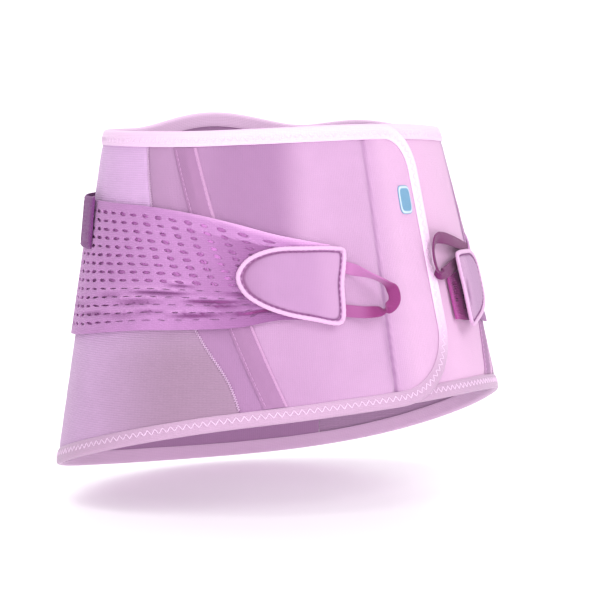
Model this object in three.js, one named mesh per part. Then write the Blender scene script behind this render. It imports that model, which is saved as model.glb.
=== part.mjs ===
// Lumbosacral support belt in its worn shape, closed at the front and pulled snug by two side straps.
// Millimetres, +Z up, -Y is the wearer's front and +X the wearer's left.
// The origin is on the trunk's axis, level with the middle of the pull straps.
import * as THREE from "three";

// The trunk that the belt is wrapped round, measured on the panels' outer face
const WAIST_HALF_WIDTH = 127;
const HIP_HALF_WIDTH = 177.5;
const DEPTH_TO_WIDTH = 0.78;
const WAIST_SET_BACK = 5;
const WAIST_SET_ASIDE = -1.65;

// Top edge: its level at the sides, and waves as shares of the rise at the back
const TOP_LEVEL = 99;
const TOP_RISE = 10.5;
const TOP_WAVES = [
  { at: 0, rise: 0.43, spread: 75 },
  { at: 112, rise: 0.46, spread: 30 },
  { at: 168, rise: 1, spread: 38 },
];

// Hem: its middle level, how far it tilts up to the front, and its harmonics as shares of the tilt
const HEM_LEVEL = -111.8;
const HEM_TILT = 33.5;
const HEM_WAVES = [
  { turns: 1, cosine: 1, sine: 0.03 },
  { turns: 2, cosine: -0.04, sine: 0.11 },
  { turns: 3, cosine: -0.05, sine: 0 },
];
const HEM_LOWEST = HEM_LEVEL - HEM_TILT;

// Cloth and tape
const PANEL = 3;
const GUSSET = 2.4;
const EDGE_PINCH = 0.5;
const TAPE = 0.9;
const TAPE_COVER = 8;
const PINCH_BLEND = 3;
const CLEAR = 0.3;
const LAYER_GAP = 0.4;

// Mesh steps: degrees of turn for panels and for tapes, rows up a panel and up an upright tape
const PANEL_STEP = 6.6;
const TAPE_STEP = 6;
const PANEL_ROWS = 5;
const UPRIGHT_STEPS = 8;

// Seams and ends, in degrees from the front centre
const GUSSET_FRONT_SEAM = [
  { up: 0, angle: 45.5 },
  { up: 0.15, angle: 49.4 },
  { up: 0.3, angle: 56.9 },
  { up: 0.55, angle: 68.5 },
  { up: 0.77, angle: 76.6 },
  { up: 1, angle: 81.5 },
];
const GUSSET_REAR_SEAM = [
  { up: 0, angle: 137 },
  { up: 1, angle: 131 },
];
const FLAP_END = 14.5;
const INNER_END = 24;
const SLANT_END = 36;
const FLAP_TOP_CORNER = 30;
const FLAP_HEM_CORNER = 49;
const CREASE_ANGLE = 6.2;
const CREASE_HALF_WIDTH = 1.3;
const CREASE_DEPTH = 0.9;
const FLAP_COLUMN_SHARES = [0.78, 0.58, 0.4, 0.24, 0.1, 0];
const LIFT_RUN = 34;
const LIFT_MARGIN = 2;
const CORNER_STEPS = 8;
const CORNER_LEAD = 4;

// Stay channels, sewn on the front panels
const CHANNEL_WIDTH = 16;
const CHANNEL_THICKNESS = 1;
const CHANNEL_TOP_ANGLE = 64.8;
const CHANNEL_HEM_ANGLE = 37.8;

// Pull straps of pierced elastic: the edges' heights as shares of the half height, from the front to
// the rear end, and the angles between which a side's own drop fades out
const STRAP_THICKNESS = 1.4;
const STRAP_HALF_HEIGHT = 45;
const STRAP_DROP_FROM = 40;
const STRAP_DROP_TO = 112;
const STRAP_ROWS = [
  { angle: 22, top: 0.57, bottom: -0.45 },
  { angle: 28, top: 0.63, bottom: -0.49 },
  { angle: 37, top: 0.73, bottom: -0.5 },
  { angle: 47, top: 0.87, bottom: -0.6 },
  { angle: 61, top: 1.02, bottom: -0.64 },
  { angle: 76, top: 1.11, bottom: -0.67 },
  { angle: 91, top: 1.14, bottom: -0.74 },
  { angle: 112, top: 1.17, bottom: -0.84 },
  { angle: 146, top: 1.18, bottom: -0.88 },
];
const STRAP_SELVAGE = 5;
const STRAP_LEAN = 8;
const HOLE_COLUMNS = 10;
const HOLE_ROWS = 5;
const HOLE_LENGTH_SHARE = 0.62;
const HOLE_HEIGHT_SHARE = 0.44;

// Hand tabs: a bullet outline, along from the straight edge to the nose, up from the middle
const TAB_LENGTH = 68;
const TAB_HEIGHT = 50;
const TAB_THICKNESS = 2.4;
const TAB_RIM = 2.8;
const TAB_RIM_PROUD = 0.5;
const TAB_POINTS = 28;
const TAB_LIFT_RUN = 50;
const TAB_OUTLINE = [
  { along: 0, up: -0.47 },
  { along: -0.035, up: 0 },
  { along: -0.07, up: 0.47 },
  { along: 0.02, up: 0.5 },
  { along: 0.3, up: 0.51 },
  { along: 0.62, up: 0.49 },
  { along: 0.86, up: 0.36 },
  { along: 0.98, up: 0.13 },
  { along: 0.93, up: -0.1 },
  { along: 0.78, up: -0.26 },
  { along: 0.56, up: -0.38 },
  { along: 0.3, up: -0.46 },
  { along: 0.06, up: -0.52 },
];

// Finger loops of narrow webbing, one row for each bend: ahead of the tab's straight edge, up from
// the tab's middle and out from the panel, as shares of the reach, the height and the stand, then
// how far the webbing's width leans from upright and swings outwards
const LOOP_WEBBING = 8;
const LOOP_THICKNESS = 1.6;
const LOOP_REACH = 32;
const LOOP_HEIGHT = 32;
const LOOP_STAND = 11;
const LOOP_STEPS = 26;

// The two sides differ only in how the strap, tab and loop lie: where the tab's straight edge is, how
// far the tab tilts and its straight edge lifts, how far behind that edge the strap's front end lies,
// and how much lower the strap's two edges run than the table says
const SIDES = {
  right: {
    turn: (angle) => 360 - angle,
    tabEdge: 19.8,
    tabUp: -0.5,
    tabTilt: 0,
    tabLift: 0,
    strapTuck: 4.5,
    topDrop: 0,
    bottomDrop: 0,
    loop: [
      { ahead: -0.11, up: 0.36, out: 0, lean: 0, swing: 30 },
      { ahead: 0.02, up: 0.36, out: 0, lean: 0, swing: 30 },
      { ahead: 0.2, up: 0.33, out: 0.04, lean: 0, swing: 45 },
      { ahead: 0.55, up: 0.2, out: 0.55, lean: 35, swing: 70 },
      { ahead: 0.86, up: 0.03, out: 0.92, lean: 75, swing: 75 },
      { ahead: 1, up: -0.14, out: 1, lean: 92, swing: 38 },
      { ahead: 1, up: -0.36, out: 1, lean: 92, swing: 34 },
      { ahead: 0.84, up: -0.52, out: 0.8, lean: 75, swing: 10 },
      { ahead: 0.5, up: -0.57, out: 0.4, lean: 35, swing: 0 },
      { ahead: 0.15, up: -0.54, out: 0.02, lean: 0, swing: 0 },
      { ahead: 0.02, up: -0.52, out: 0, lean: 0, swing: 0 },
      { ahead: -0.11, up: -0.52, out: 0, lean: 0, swing: 0 },
    ],
  },
  left: {
    turn: (angle) => angle,
    tabEdge: 23.3,
    tabUp: -8,
    tabTilt: 2,
    tabLift: 6,
    strapTuck: -6,
    topDrop: 26,
    bottomDrop: 9,
    loop: [
      { ahead: -1.57, up: 0.74, out: 0, lean: 0, swing: 30 },
      { ahead: -1.22, up: 0.79, out: 0.01, lean: 0, swing: 30 },
      { ahead: -0.75, up: 0.87, out: 0.12, lean: 0, swing: 30 },
      { ahead: -0.14, up: 0.98, out: 0.36, lean: 0, swing: 30 },
      { ahead: 0.35, up: 1.07, out: 0.53, lean: 10, swing: 33 },
      { ahead: 0.7, up: 1.06, out: 0.64, lean: 60, swing: 33 },
      { ahead: 0.85, up: 0.86, out: 0.68, lean: 90, swing: 33 },
      { ahead: 0.88, up: 0.59, out: 0.68, lean: 90, swing: 33 },
      { ahead: 0.8, up: 0.36, out: 0.66, lean: 50, swing: 33 },
      { ahead: 0.43, up: 0.36, out: 0.44, lean: 10, swing: 30 },
      { ahead: 0, up: 0.45, out: 0.25, lean: 0, swing: 30 },
      { ahead: -0.34, up: 0.5, out: 0.18, lean: 0, swing: 30 },
      { ahead: -0.6, up: 0.46, out: 0.17, lean: 0, swing: 30 },
    ],
  },
};

// Back band of dark webbing that joins the rear of the two straps
const BAND_FRONT_ANGLE = 103;
const BAND_LOW = 20;
const BAND_HEIGHT = 35;
const BAND_THICKNESS = 1.8;
const BAND_TOP_STAND = 2;

// Hidden hook patch that holds the flap, and the small plain tag on the flap
const PATCH_INSET = 16;
const PATCH_HALF_HEIGHT = 52;
const TAG_MARGIN = 5;
const TAG_UP = 53;
const TAG_WIDTH = 11;
const TAG_HEIGHT = 19;
const TAG_THICKNESS = 0.8;

// Levels of the layers, out from the panels' outer face
const CHANNEL_IN = LAYER_GAP;
const STRAP_IN = CHANNEL_IN + CHANNEL_THICKNESS + LAYER_GAP;
const STRAP_OUT = STRAP_IN + STRAP_THICKNESS;
const TAB_IN = STRAP_OUT + LAYER_GAP;
const BAND_IN = STRAP_OUT + LAYER_GAP;
const BINDING_OUT = CLEAR + TAPE - EDGE_PINCH;
const BINDING_IN = -PANEL + EDGE_PINCH - CLEAR - TAPE;
const BINDING_REACH = CLEAR + TAPE;
const FLAP_LIFT = BINDING_OUT - BINDING_IN + LAYER_GAP;

const radians = THREE.MathUtils.degToRad;
const lerp = THREE.MathUtils.lerp;
const smooth = (x) => THREE.MathUtils.smoothstep(x, 0, 1);

// Reads column KEY of a table, at X along its column AT, on a smooth curve through the rows
function fromTable(rows, at, x, key) {
  const last = rows.length - 1;
  let i = 0;
  while (i < last - 1 && x > rows[i + 1][at]) i++;
  const slope = (k) => {
    const a = rows[Math.max(k - 1, 0)];
    const b = rows[Math.min(k + 1, last)];
    return (b[key] - a[key]) / (b[at] - a[at]);
  };
  const span = rows[i + 1][at] - rows[i][at];
  const t = THREE.MathUtils.clamp((x - rows[i][at]) / span, 0, 1);
  const back = 1 - t;
  return (
    back * back * (1 + 2 * t) * rows[i][key] +
    t * t * (3 - 2 * t) * rows[i + 1][key] +
    span * t * back * (back * slope(i) - t * slope(i + 1))
  );
}

function topEdge(turn) {
  let z = TOP_LEVEL;
  for (const wave of TOP_WAVES) {
    const away = Math.abs((((turn - wave.at) % 360) + 540) % 360 - 180) / wave.spread;
    if (away < 1) z += TOP_RISE * wave.rise * 0.5 * (1 + Math.cos(Math.PI * away));
  }
  return z;
}

function hemEdge(turn) {
  let z = HEM_LEVEL;
  for (const wave of HEM_WAVES) {
    const angle = radians(turn * wave.turns);
    z += HEM_TILT * (wave.cosine * Math.cos(angle) + wave.sine * Math.sin(angle));
  }
  return z;
}

// The strip runs from its inner end, behind the flap, round the wearer's left, back and right to the
// flap, so its turn goes from -INNER_END to 360 + FLAP_END and rises clear of its own start
function flapLift(turn) {
  return FLAP_LIFT * smooth(1 + (turn - (360 - INNER_END - LIFT_MARGIN)) / LIFT_RUN);
}

function ringSizes(z) {
  const down = (TOP_LEVEL - z) / (TOP_LEVEL - HEM_LOWEST);
  const half = lerp(WAIST_HALF_WIDTH, HIP_HALF_WIDTH, down);
  return { half, depth: half * DEPTH_TO_WIDTH };
}

// A point of the belt: TURN in degrees, height Z, and OUT from the panels' outer face
function surface(turn, z, out) {
  const { half, depth } = ringSizes(z);
  const angle = radians(turn);
  const normal = outward(turn, z);
  const away = out + flapLift(turn);
  return new THREE.Vector3(
    half * Math.sin(angle) + (WAIST_SET_ASIDE * z) / TOP_LEVEL + normal.x * away,
    -depth * Math.cos(angle) + (WAIST_SET_BACK * z) / TOP_LEVEL + normal.y * away,
    z,
  );
}

function outward(turn, z) {
  const { half, depth } = ringSizes(z);
  const angle = radians(turn);
  return new THREE.Vector3(Math.sin(angle) / half, -Math.cos(angle) / depth, 0).normalize();
}

function upTheBelt(turn, z) {
  return surface(turn, z + 1, 0).sub(surface(turn, z, 0)).normalize();
}

// Millimetres along the ring for each degree of turn
function perDegree(turn, z) {
  const { half, depth } = ringSizes(z);
  const angle = radians(turn);
  return radians(Math.hypot(half * Math.cos(angle), depth * Math.sin(angle)));
}

function solid(name, vertices, triangles, material) {
  const geometry = new THREE.BufferGeometry();
  const flat = vertices.flatMap((v) => [v.x, v.y, v.z]);
  geometry.setAttribute("position", new THREE.Float32BufferAttribute(flat, 3));
  geometry.setIndex(triangles.flat());
  geometry.computeVertexNormals();
  const mesh = new THREE.Mesh(geometry, material);
  mesh.name = name;
  return mesh;
}

// A closed sheet from a grid of cells, grid[i][j] = {turn, z, inner, outer}
function sheet(name, grid, material) {
  const vertices = [];
  const triangles = [];
  const columns = grid.length;
  const rows = grid[0].length;
  for (const column of grid) {
    for (const p of column) vertices.push(surface(p.turn, p.z, p.outer));
  }
  for (const column of grid) {
    for (const p of column) vertices.push(surface(p.turn, p.z, p.inner));
  }
  const half = columns * rows;
  const at = (i, j) => i * rows + j;
  const quad = (a, b, c, d) => triangles.push([a, b, c], [a, c, d]);
  for (let i = 0; i < columns - 1; i++) {
    for (let j = 0; j < rows - 1; j++) {
      const corners = [at(i, j), at(i + 1, j), at(i + 1, j + 1), at(i, j + 1)];
      quad(...corners);
      const [a, b, c, d] = corners.map((k) => k + half);
      triangles.push([a, c, b], [a, d, c]);
    }
  }
  const wall = (a, b) => quad(b, a, a + half, b + half);
  for (let i = 0; i < columns - 1; i++) {
    wall(at(i, 0), at(i + 1, 0));
    wall(at(i + 1, rows - 1), at(i, rows - 1));
  }
  for (let j = 0; j < rows - 1; j++) {
    wall(at(columns - 1, j), at(columns - 1, j + 1));
    wall(at(0, j + 1), at(0, j));
  }
  return solid(name, vertices, triangles, material);
}

// Heights of a panel's rows between LOW and HIGH, with a narrow pair for the pinch at each edge
function rowHeights(low, high) {
  const pinch = TAPE_COVER + CLEAR;
  const full = pinch + PINCH_BLEND;
  const heights = [low, low + pinch, low + full];
  for (let k = 1; k < PANEL_ROWS; k++) {
    heights.push(lerp(low + full, high - full, k / PANEL_ROWS));
  }
  heights.push(high - full, high - pinch, high);
  return heights;
}

// A cloth panel. COLUMNS gives, for the share UP of the height, each column's turn, and a column's
// THIN marks one that lies under a tape all the way up
function panel(name, columns, thickness, material, corners = () => [0, 0], dip = () => 0) {
  const count = columns(0).length;
  const grid = [];
  for (let i = 0; i < count; i++) {
    const column = [];
    const rowCount = rowHeights(0, 1).length;
    for (let j = 0; j < rowCount; j++) {
      let turn = columns(j / (rowCount - 1))[i].turn;
      let z = 0;
      for (let pass = 0; pass < 4; pass++) {
        const [cutHem, cutTop] = corners(turn);
        const low = hemEdge(turn) + BINDING_REACH + cutHem;
        const high = topEdge(turn) - BINDING_REACH - cutTop;
        z = rowHeights(low, high)[j];
        const share = (z - hemEdge(turn)) / (topEdge(turn) - hemEdge(turn));
        turn = columns(share)[i].turn;
      }
      const thin = columns(0)[i].thin || j < 2 || j > rowCount - 3;
      const pinch = thin ? EDGE_PINCH : 0;
      const outer = -pinch - dip(turn);
      column.push({ turn, z, outer, inner: -thickness + pinch });
    }
    grid.push(column);
  }
  return sheet(name, grid, material);
}

// Inward directions along a path on the belt, in degrees and millimetres of height for each millimetre
function inwardAlong(path, closed) {
  return path.map((p, i) => {
    const count = path.length;
    const before = closed ? path[(i + count - 1) % count] : path[Math.max(i - 1, 0)];
    const after = closed ? path[(i + 1) % count] : path[Math.min(i + 1, count - 1)];
    const rate = perDegree(p.turn, p.z);
    const along = new THREE.Vector2((after.turn - before.turn) * rate, after.z - before.z).normalize();
    return { turn: -along.y / rate, z: along.x };
  });
}

// Sweeps a section of {across, out} points, in clockwise order, along a path with its inside on the
// left, raised by RISE at each place
function rim(name, path, section, closed, material, rise = () => 0) {
  const inward = inwardAlong(path, closed);
  const vertices = [];
  const triangles = [];
  const n = section.length;
  path.forEach((p, i) => {
    for (const s of section) {
      const turn = p.turn + inward[i].turn * s.across;
      const z = p.z + inward[i].z * s.across;
      vertices.push(surface(turn, z, s.out + rise(turn, z)));
    }
  });
  const joins = closed ? path.length : path.length - 1;
  for (let i = 0; i < joins; i++) {
    for (let k = 0; k < n; k++) {
      const a = i * n + k;
      const b = i * n + ((k + 1) % n);
      const c = ((i + 1) % path.length) * n + ((k + 1) % n);
      const d = ((i + 1) % path.length) * n + k;
      triangles.push([a, c, b], [a, d, c]);
    }
  }
  if (!closed) {
    const outline = section.map((s) => new THREE.Vector2(s.across, s.out));
    const turns = (points) => Math.sign(THREE.ShapeUtils.area(points));
    const end = (path.length - 1) * n;
    for (const face of THREE.ShapeUtils.triangulateShape(outline, [])) {
      if (turns(face.map((k) => outline[k])) !== turns(outline)) face.reverse();
      const [a, b, c] = face;
      triangles.push([a, b, c], [end + a, end + c, end + b]);
    }
  }
  return solid(name, vertices, triangles, material);
}

// A flat piece with a closed outline, filled in rings round its middle and raised by RISE at each place
function patch(name, outline, inner, outer, material, rise = () => 0) {
  const rings = 3;
  const n = outline.length;
  const middle = { turn: 0, z: 0 };
  for (const p of outline) {
    middle.turn += p.turn / n;
    middle.z += p.z / n;
  }
  const vertices = [];
  for (const out of [outer, inner]) {
    for (let r = rings; r > 0; r--) {
      for (const p of outline) {
        const turn = lerp(middle.turn, p.turn, r / rings);
        const z = lerp(middle.z, p.z, r / rings);
        vertices.push(surface(turn, z, out + rise(turn, z)));
      }
    }
    vertices.push(surface(middle.turn, middle.z, out + rise(middle.turn, middle.z)));
  }
  const side = rings * n + 1;
  const triangles = [];
  for (let k = 0; k < n; k++) {
    const next = (k + 1) % n;
    for (let r = 0; r < rings - 1; r++) {
      const [a, b] = [r * n + k, r * n + next];
      const [c, d] = [(r + 1) * n + next, (r + 1) * n + k];
      triangles.push([a, b, c], [a, c, d]);
      triangles.push([side + a, side + c, side + b], [side + a, side + d, side + c]);
    }
    const [a, b] = [(rings - 1) * n + k, (rings - 1) * n + next];
    triangles.push([a, b, side - 1], [side + a, 2 * side - 1, side + b]);
    triangles.push([next, k, side + k], [next, side + k, side + next]);
  }
  return solid(name, vertices, triangles, material);
}

// Moves a closed outline INSET millimetres inwards
function insetOutline(outline, inset) {
  const inward = inwardAlong(outline, true);
  return outline.map((p, i) => ({
    turn: p.turn + inward[i].turn * inset,
    z: p.z + inward[i].z * inset,
  }));
}

function cloth(color, roughness) {
  return new THREE.MeshStandardMaterial({ color, roughness, metalness: 0 });
}

const MATERIALS = {
  panel: cloth(0xe6b7e5, 0.85),
  gusset: cloth(0xdbb3df, 0.9),
  tape: cloth(0xefcded, 0.8),
  channel: cloth(0xcf9cd0, 0.85),
  strap: cloth(0xc893ca, 0.85),
  tab: cloth(0xdba8d8, 0.85),
  webbing: cloth(0x9d4483, 0.8),
  band: cloth(0x7b3f7e, 0.8),
  hook: cloth(0xd9a9d6, 0.95),
  tag: cloth(0x8eb3cf, 0.7),
};

const belt = new THREE.Group();
const flapTurn = 360 + FLAP_END;
const flapRate = perDegree(FLAP_END, 0);
const evenly = (from, to, count) => Array.from({ length: count + 1 }, (_, k) => lerp(from, to, k / count));
const stepsFor = (from, to, step) => Math.ceil(Math.abs(to - from) / step);

// How far a rounded corner of radius R cuts in, at AWAY millimetres from the end
const cornerCut = (r, away) => (away < r ? r - Math.sqrt(r * r - (r - Math.max(away, 0)) ** 2) : 0);
const flapAway = (turn) => (flapTurn - turn) * flapRate - BINDING_REACH;
const flapCorners = (turn) => [
  cornerCut(FLAP_HEM_CORNER, flapAway(turn)),
  cornerCut(FLAP_TOP_CORNER, flapAway(turn)),
];
const crease = (turn) => {
  const away = Math.abs(turn - (360 - CREASE_ANGLE)) / CREASE_HALF_WIDTH;
  return away < 1 ? CREASE_DEPTH * (1 - away) : 0;
};

// Columns between two lines whose turns are functions of the share UP of the height. Their number
// comes from the lines' widest distance, so that it is the same at every height
function between(from, to) {
  const widest = Math.max(to(0) - from(0), to(1) - from(1));
  const count = stepsFor(0, widest, PANEL_STEP);
  return (up) => evenly(from(up), to(up), count).map((turn) => ({ turn }));
}
const frontSeam = (up) => fromTable(GUSSET_FRONT_SEAM, "up", up, "angle");
const rearSeam = (up) => fromTable(GUSSET_REAR_SEAM, "up", up, "angle");
const seamGap = CLEAR / 2 / perDegree(90, 0);

// Front panel on the wearer's right, from its gusset to the flap's edge, with the crease near the edge
const creaseAt = 360 - CREASE_ANGLE;
const creaseEnd = creaseAt + CREASE_HALF_WIDTH;
const flapSlant = between((up) => 360 - frontSeam(up) + seamGap, () => 360 - SLANT_END);
const flapPlain = between(() => 360 - SLANT_END, () => creaseAt - CREASE_HALF_WIDTH);

function flapColumns(up) {
  const columns = [...flapSlant(up), ...flapPlain(up).slice(1), { turn: creaseAt }, { turn: creaseEnd }];
  for (const share of FLAP_COLUMN_SHARES) {
    const away = ((flapTurn - creaseEnd) * flapRate - BINDING_REACH) * share;
    const thin = away < FLAP_HEM_CORNER + CORNER_LEAD;
    columns.push({ turn: flapTurn - (away + BINDING_REACH) / flapRate, thin });
  }
  return columns;
}
belt.add(panel("front_panel_right", flapColumns, PANEL, MATERIALS.panel, flapCorners, crease));

// Front panel on the wearer's left, whose end lies behind the flap
const innerEnd = -INNER_END + BINDING_REACH / flapRate;
const innerCovered = innerEnd + (TAPE_COVER + CLEAR) / flapRate;
const innerPlain = between(() => innerCovered + PINCH_BLEND / flapRate, () => SLANT_END);
const innerSlant = between(() => SLANT_END, (up) => frontSeam(up) - seamGap);

function innerColumns(up) {
  const covered = [{ turn: innerEnd, thin: true }, { turn: innerCovered, thin: true }];
  return [...covered, ...innerPlain(up), ...innerSlant(up).slice(1)];
}
belt.add(panel("front_panel_left", innerColumns, PANEL, MATERIALS.panel));

const leftGusset = between((up) => frontSeam(up) + seamGap, (up) => rearSeam(up) - seamGap);
const rightGusset = between((up) => 360 - rearSeam(up) + seamGap, (up) => 360 - frontSeam(up) - seamGap);
const backColumns = between((up) => rearSeam(up) + seamGap, (up) => 360 - rearSeam(up) - seamGap);
belt.add(panel("side_gusset_left", leftGusset, GUSSET, MATERIALS.gusset));
belt.add(panel("side_gusset_right", rightGusset, GUSSET, MATERIALS.gusset));
belt.add(panel("back_panel", backColumns, PANEL, MATERIALS.panel));

// Folded edge tapes
const TAPE_SECTION = [
  { across: TAPE_COVER, out: BINDING_OUT - TAPE },
  { across: -CLEAR, out: BINDING_OUT - TAPE },
  { across: -CLEAR, out: BINDING_IN + TAPE },
  { across: TAPE_COVER, out: BINDING_IN + TAPE },
  { across: TAPE_COVER, out: BINDING_IN },
  { across: -CLEAR - TAPE, out: BINDING_IN },
  { across: -CLEAR - TAPE, out: BINDING_OUT },
  { across: TAPE_COVER, out: BINDING_OUT },
];
const onEdge = (turn, z) => ({ turn, z });
const flapTopStart = flapTurn - (FLAP_TOP_CORNER + CORNER_LEAD + BINDING_REACH) / flapRate;
const flapHemStart = flapTurn - (FLAP_HEM_CORNER + CORNER_LEAD + BINDING_REACH) / flapRate;
const tapeGap = (2 * CLEAR) / flapRate;

function hemTape() {
  const turns = evenly(-INNER_END, flapHemStart - tapeGap, stepsFor(-INNER_END, flapHemStart, TAPE_STEP));
  const path = turns.map((turn) => onEdge(turn, hemEdge(turn) + BINDING_REACH));
  return rim("hem_binding", path, TAPE_SECTION, false, MATERIALS.tape);
}

function topTape() {
  const turns = evenly(flapTopStart - tapeGap, -INNER_END, stepsFor(-INNER_END, flapTopStart, TAPE_STEP));
  const path = turns.map((turn) => onEdge(turn, topEdge(turn) - BINDING_REACH));
  return rim("top_binding", path, TAPE_SECTION, false, MATERIALS.tape);
}

function flapTape() {
  const path = [];
  const add = (away, z) => path.push(onEdge(flapTurn - (away + BINDING_REACH) / flapRate, z));
  const hemAt = (away) => hemEdge(flapTurn - away / flapRate) + BINDING_REACH;
  const topAt = (away) => topEdge(flapTurn - away / flapRate) - BINDING_REACH;
  add(FLAP_HEM_CORNER + CORNER_LEAD, hemAt(FLAP_HEM_CORNER + CORNER_LEAD));
  for (let k = 0; k <= CORNER_STEPS; k++) {
    const away = FLAP_HEM_CORNER * (1 - Math.sin((k / CORNER_STEPS) * (Math.PI / 2)));
    add(away, hemAt(away) + cornerCut(FLAP_HEM_CORNER, away));
  }
  const low = path[path.length - 1].z;
  const high = topAt(0) - FLAP_TOP_CORNER;
  for (const z of evenly(low, high, UPRIGHT_STEPS).slice(1, -1)) add(0, z);
  for (let k = CORNER_STEPS; k >= 0; k--) {
    const away = FLAP_TOP_CORNER * (1 - Math.sin((k / CORNER_STEPS) * (Math.PI / 2)));
    add(away, topAt(away) - cornerCut(FLAP_TOP_CORNER, away));
  }
  add(FLAP_TOP_CORNER + CORNER_LEAD, topAt(FLAP_TOP_CORNER + CORNER_LEAD));
  return rim("flap_binding", path, TAPE_SECTION, false, MATERIALS.tape);
}

function innerEndTape() {
  const far = innerEnd + TAPE_COVER / flapRate;
  const clearOfTape = BINDING_REACH + TAPE_COVER + 2 * CLEAR;
  const high = Math.min(topEdge(innerEnd), topEdge(far)) - clearOfTape;
  const low = Math.max(hemEdge(innerEnd), hemEdge(far)) + clearOfTape;
  const path = evenly(high, low, UPRIGHT_STEPS).map((z) => onEdge(innerEnd, z));
  return rim("inner_end_binding", path, TAPE_SECTION, false, MATERIALS.tape);
}
belt.add(hemTape(), topTape(), flapTape(), innerEndTape());

// Stay channel: a straight raised strip that leans forwards down to the hem
function stayChannel(side) {
  const { turn } = SIDES[side];
  const grid = [-0.5, 0, 0.5].map((across) => {
    const column = [];
    for (const up of evenly(0, 1, UPRIGHT_STEPS)) {
      const middle = lerp(CHANNEL_HEM_ANGLE, CHANNEL_TOP_ANGLE, up);
      const level = lerp(hemEdge(turn(middle)), topEdge(turn(middle)), up);
      const at = turn(middle - (across * CHANNEL_WIDTH) / perDegree(middle, level));
      const inset = BINDING_REACH + TAPE_COVER + 2 * CLEAR;
      const z = lerp(hemEdge(at) + inset, topEdge(at) - inset, up);
      column.push({ turn: at, z, inner: CHANNEL_IN, outer: CHANNEL_IN + CHANNEL_THICKNESS });
    }
    return column;
  });
  if (turn(0) < turn(1)) grid.reverse();
  return sheet("stay_channel_" + side, grid, MATERIALS.channel);
}

// Strap line: heights of its edges at an angle from the front centre, with the side's own drop
function strapHeight(side, angle, key) {
  const fade = smooth((angle - STRAP_DROP_FROM) / (STRAP_DROP_TO - STRAP_DROP_FROM));
  const drop = SIDES[side][key + "Drop"] * (1 - fade);
  return STRAP_HALF_HEIGHT * fromTable(STRAP_ROWS, "angle", angle, key) - drop;
}

// Pierced strap: a grid of cells, each with a lozenge cut through, between two plain selvages
function pullStrap(side) {
  const { turn, tabEdge, strapTuck } = SIDES[side];
  const front = tabEdge + strapTuck / perDegree(tabEdge, 0);
  const rear = STRAP_ROWS[STRAP_ROWS.length - 1].angle;
  const mirrored = turn(1) < turn(0);
  const place = (column, row) => {
    const share = column / (2 * HOLE_COLUMNS);
    const lean = STRAP_LEAN * (row / HOLE_ROWS) * 4 * share * (1 - share);
    const angle = lerp(front, rear, share) + lean;
    const low = strapHeight(side, angle, "bottom");
    const high = strapHeight(side, angle, "top");
    const z =
      row < 0 ? low : row > HOLE_ROWS ? high : lerp(low + STRAP_SELVAGE, high - STRAP_SELVAGE, row / HOLE_ROWS);
    return { turn: turn(angle), z };
  };
  const vertices = [];
  const index = new Map();
  const vertex = (column, row, out) => {
    const key = [column, row, out].join();
    if (!index.has(key)) {
      index.set(key, vertices.length);
      const p = place(column, row);
      vertices.push(surface(p.turn, p.z, out));
    }
    return index.get(key);
  };
  const triangles = [];
  const face = (...points) => {
    for (const out of [STRAP_OUT, STRAP_IN]) {
      const ids = points.map(([column, row]) => vertex(column, row, out));
      if ((out === STRAP_IN) !== mirrored) ids.reverse();
      for (let k = 1; k < ids.length - 1; k++) triangles.push([ids[0], ids[k], ids[k + 1]]);
    }
  };
  const wall = (a, b) => {
    const ids = [vertex(...b, STRAP_OUT), vertex(...a, STRAP_OUT), vertex(...a, STRAP_IN), vertex(...b, STRAP_IN)];
    if (mirrored) ids.reverse();
    triangles.push([ids[0], ids[1], ids[2]], [ids[0], ids[2], ids[3]]);
  };
  for (let i = 0; i < HOLE_COLUMNS; i++) {
    const [a, m, b] = [2 * i, 2 * i + 1, 2 * i + 2];
    for (const [low, high] of [[-1, 0], [HOLE_ROWS, HOLE_ROWS + 1]]) {
      face([a, low], [m, low], [m, high], [a, high]);
      face([m, low], [b, low], [b, high], [m, high]);
    }
    for (const [from, to] of [[a, m], [m, b]]) {
      wall([from, -1], [to, -1]);
      wall([to, HOLE_ROWS + 1], [from, HOLE_ROWS + 1]);
    }
    for (let j = 0; j < HOLE_ROWS; j++) {
      const left = [m - HOLE_LENGTH_SHARE, j + 0.5];
      const right = [m + HOLE_LENGTH_SHARE, j + 0.5];
      const low = [m, j + 0.5 - HOLE_HEIGHT_SHARE / 2];
      const high = [m, j + 0.5 + HOLE_HEIGHT_SHARE / 2];
      face([a, j], [m, j], low, left);
      face([m, j], [b, j], right, low);
      face([a, j], left, [a, j + 1]);
      face([b, j], [b, j + 1], right);
      face([a, j + 1], left, high, [m, j + 1]);
      face([m, j + 1], high, right, [b, j + 1]);
      wall(low, left);
      wall(right, low);
      wall(high, right);
      wall(left, high);
    }
  }
  const last = 2 * HOLE_COLUMNS;
  for (let j = -1; j <= HOLE_ROWS; j++) {
    wall([last, j], [last, j + 1]);
    wall([0, j + 1], [0, j]);
  }
  return solid("pull_strap_" + side, vertices, triangles, MATERIALS.strap);
}

// Point of the tab's outline, in turn and height, tilted about the middle of its straight edge
function tabPoint(side, along, up) {
  const { turn, tabEdge, tabUp, tabTilt } = SIDES[side];
  const tilt = radians(tabTilt);
  const x = along * TAB_LENGTH;
  const y = up * TAB_HEIGHT;
  const back = x * Math.cos(tilt) + y * Math.sin(tilt);
  const z = tabUp + y * Math.cos(tilt) - x * Math.sin(tilt);
  const rate = perDegree(tabEdge + back / 2 / perDegree(tabEdge, z), z);
  return { turn: turn(tabEdge + back / rate), z };
}

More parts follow.
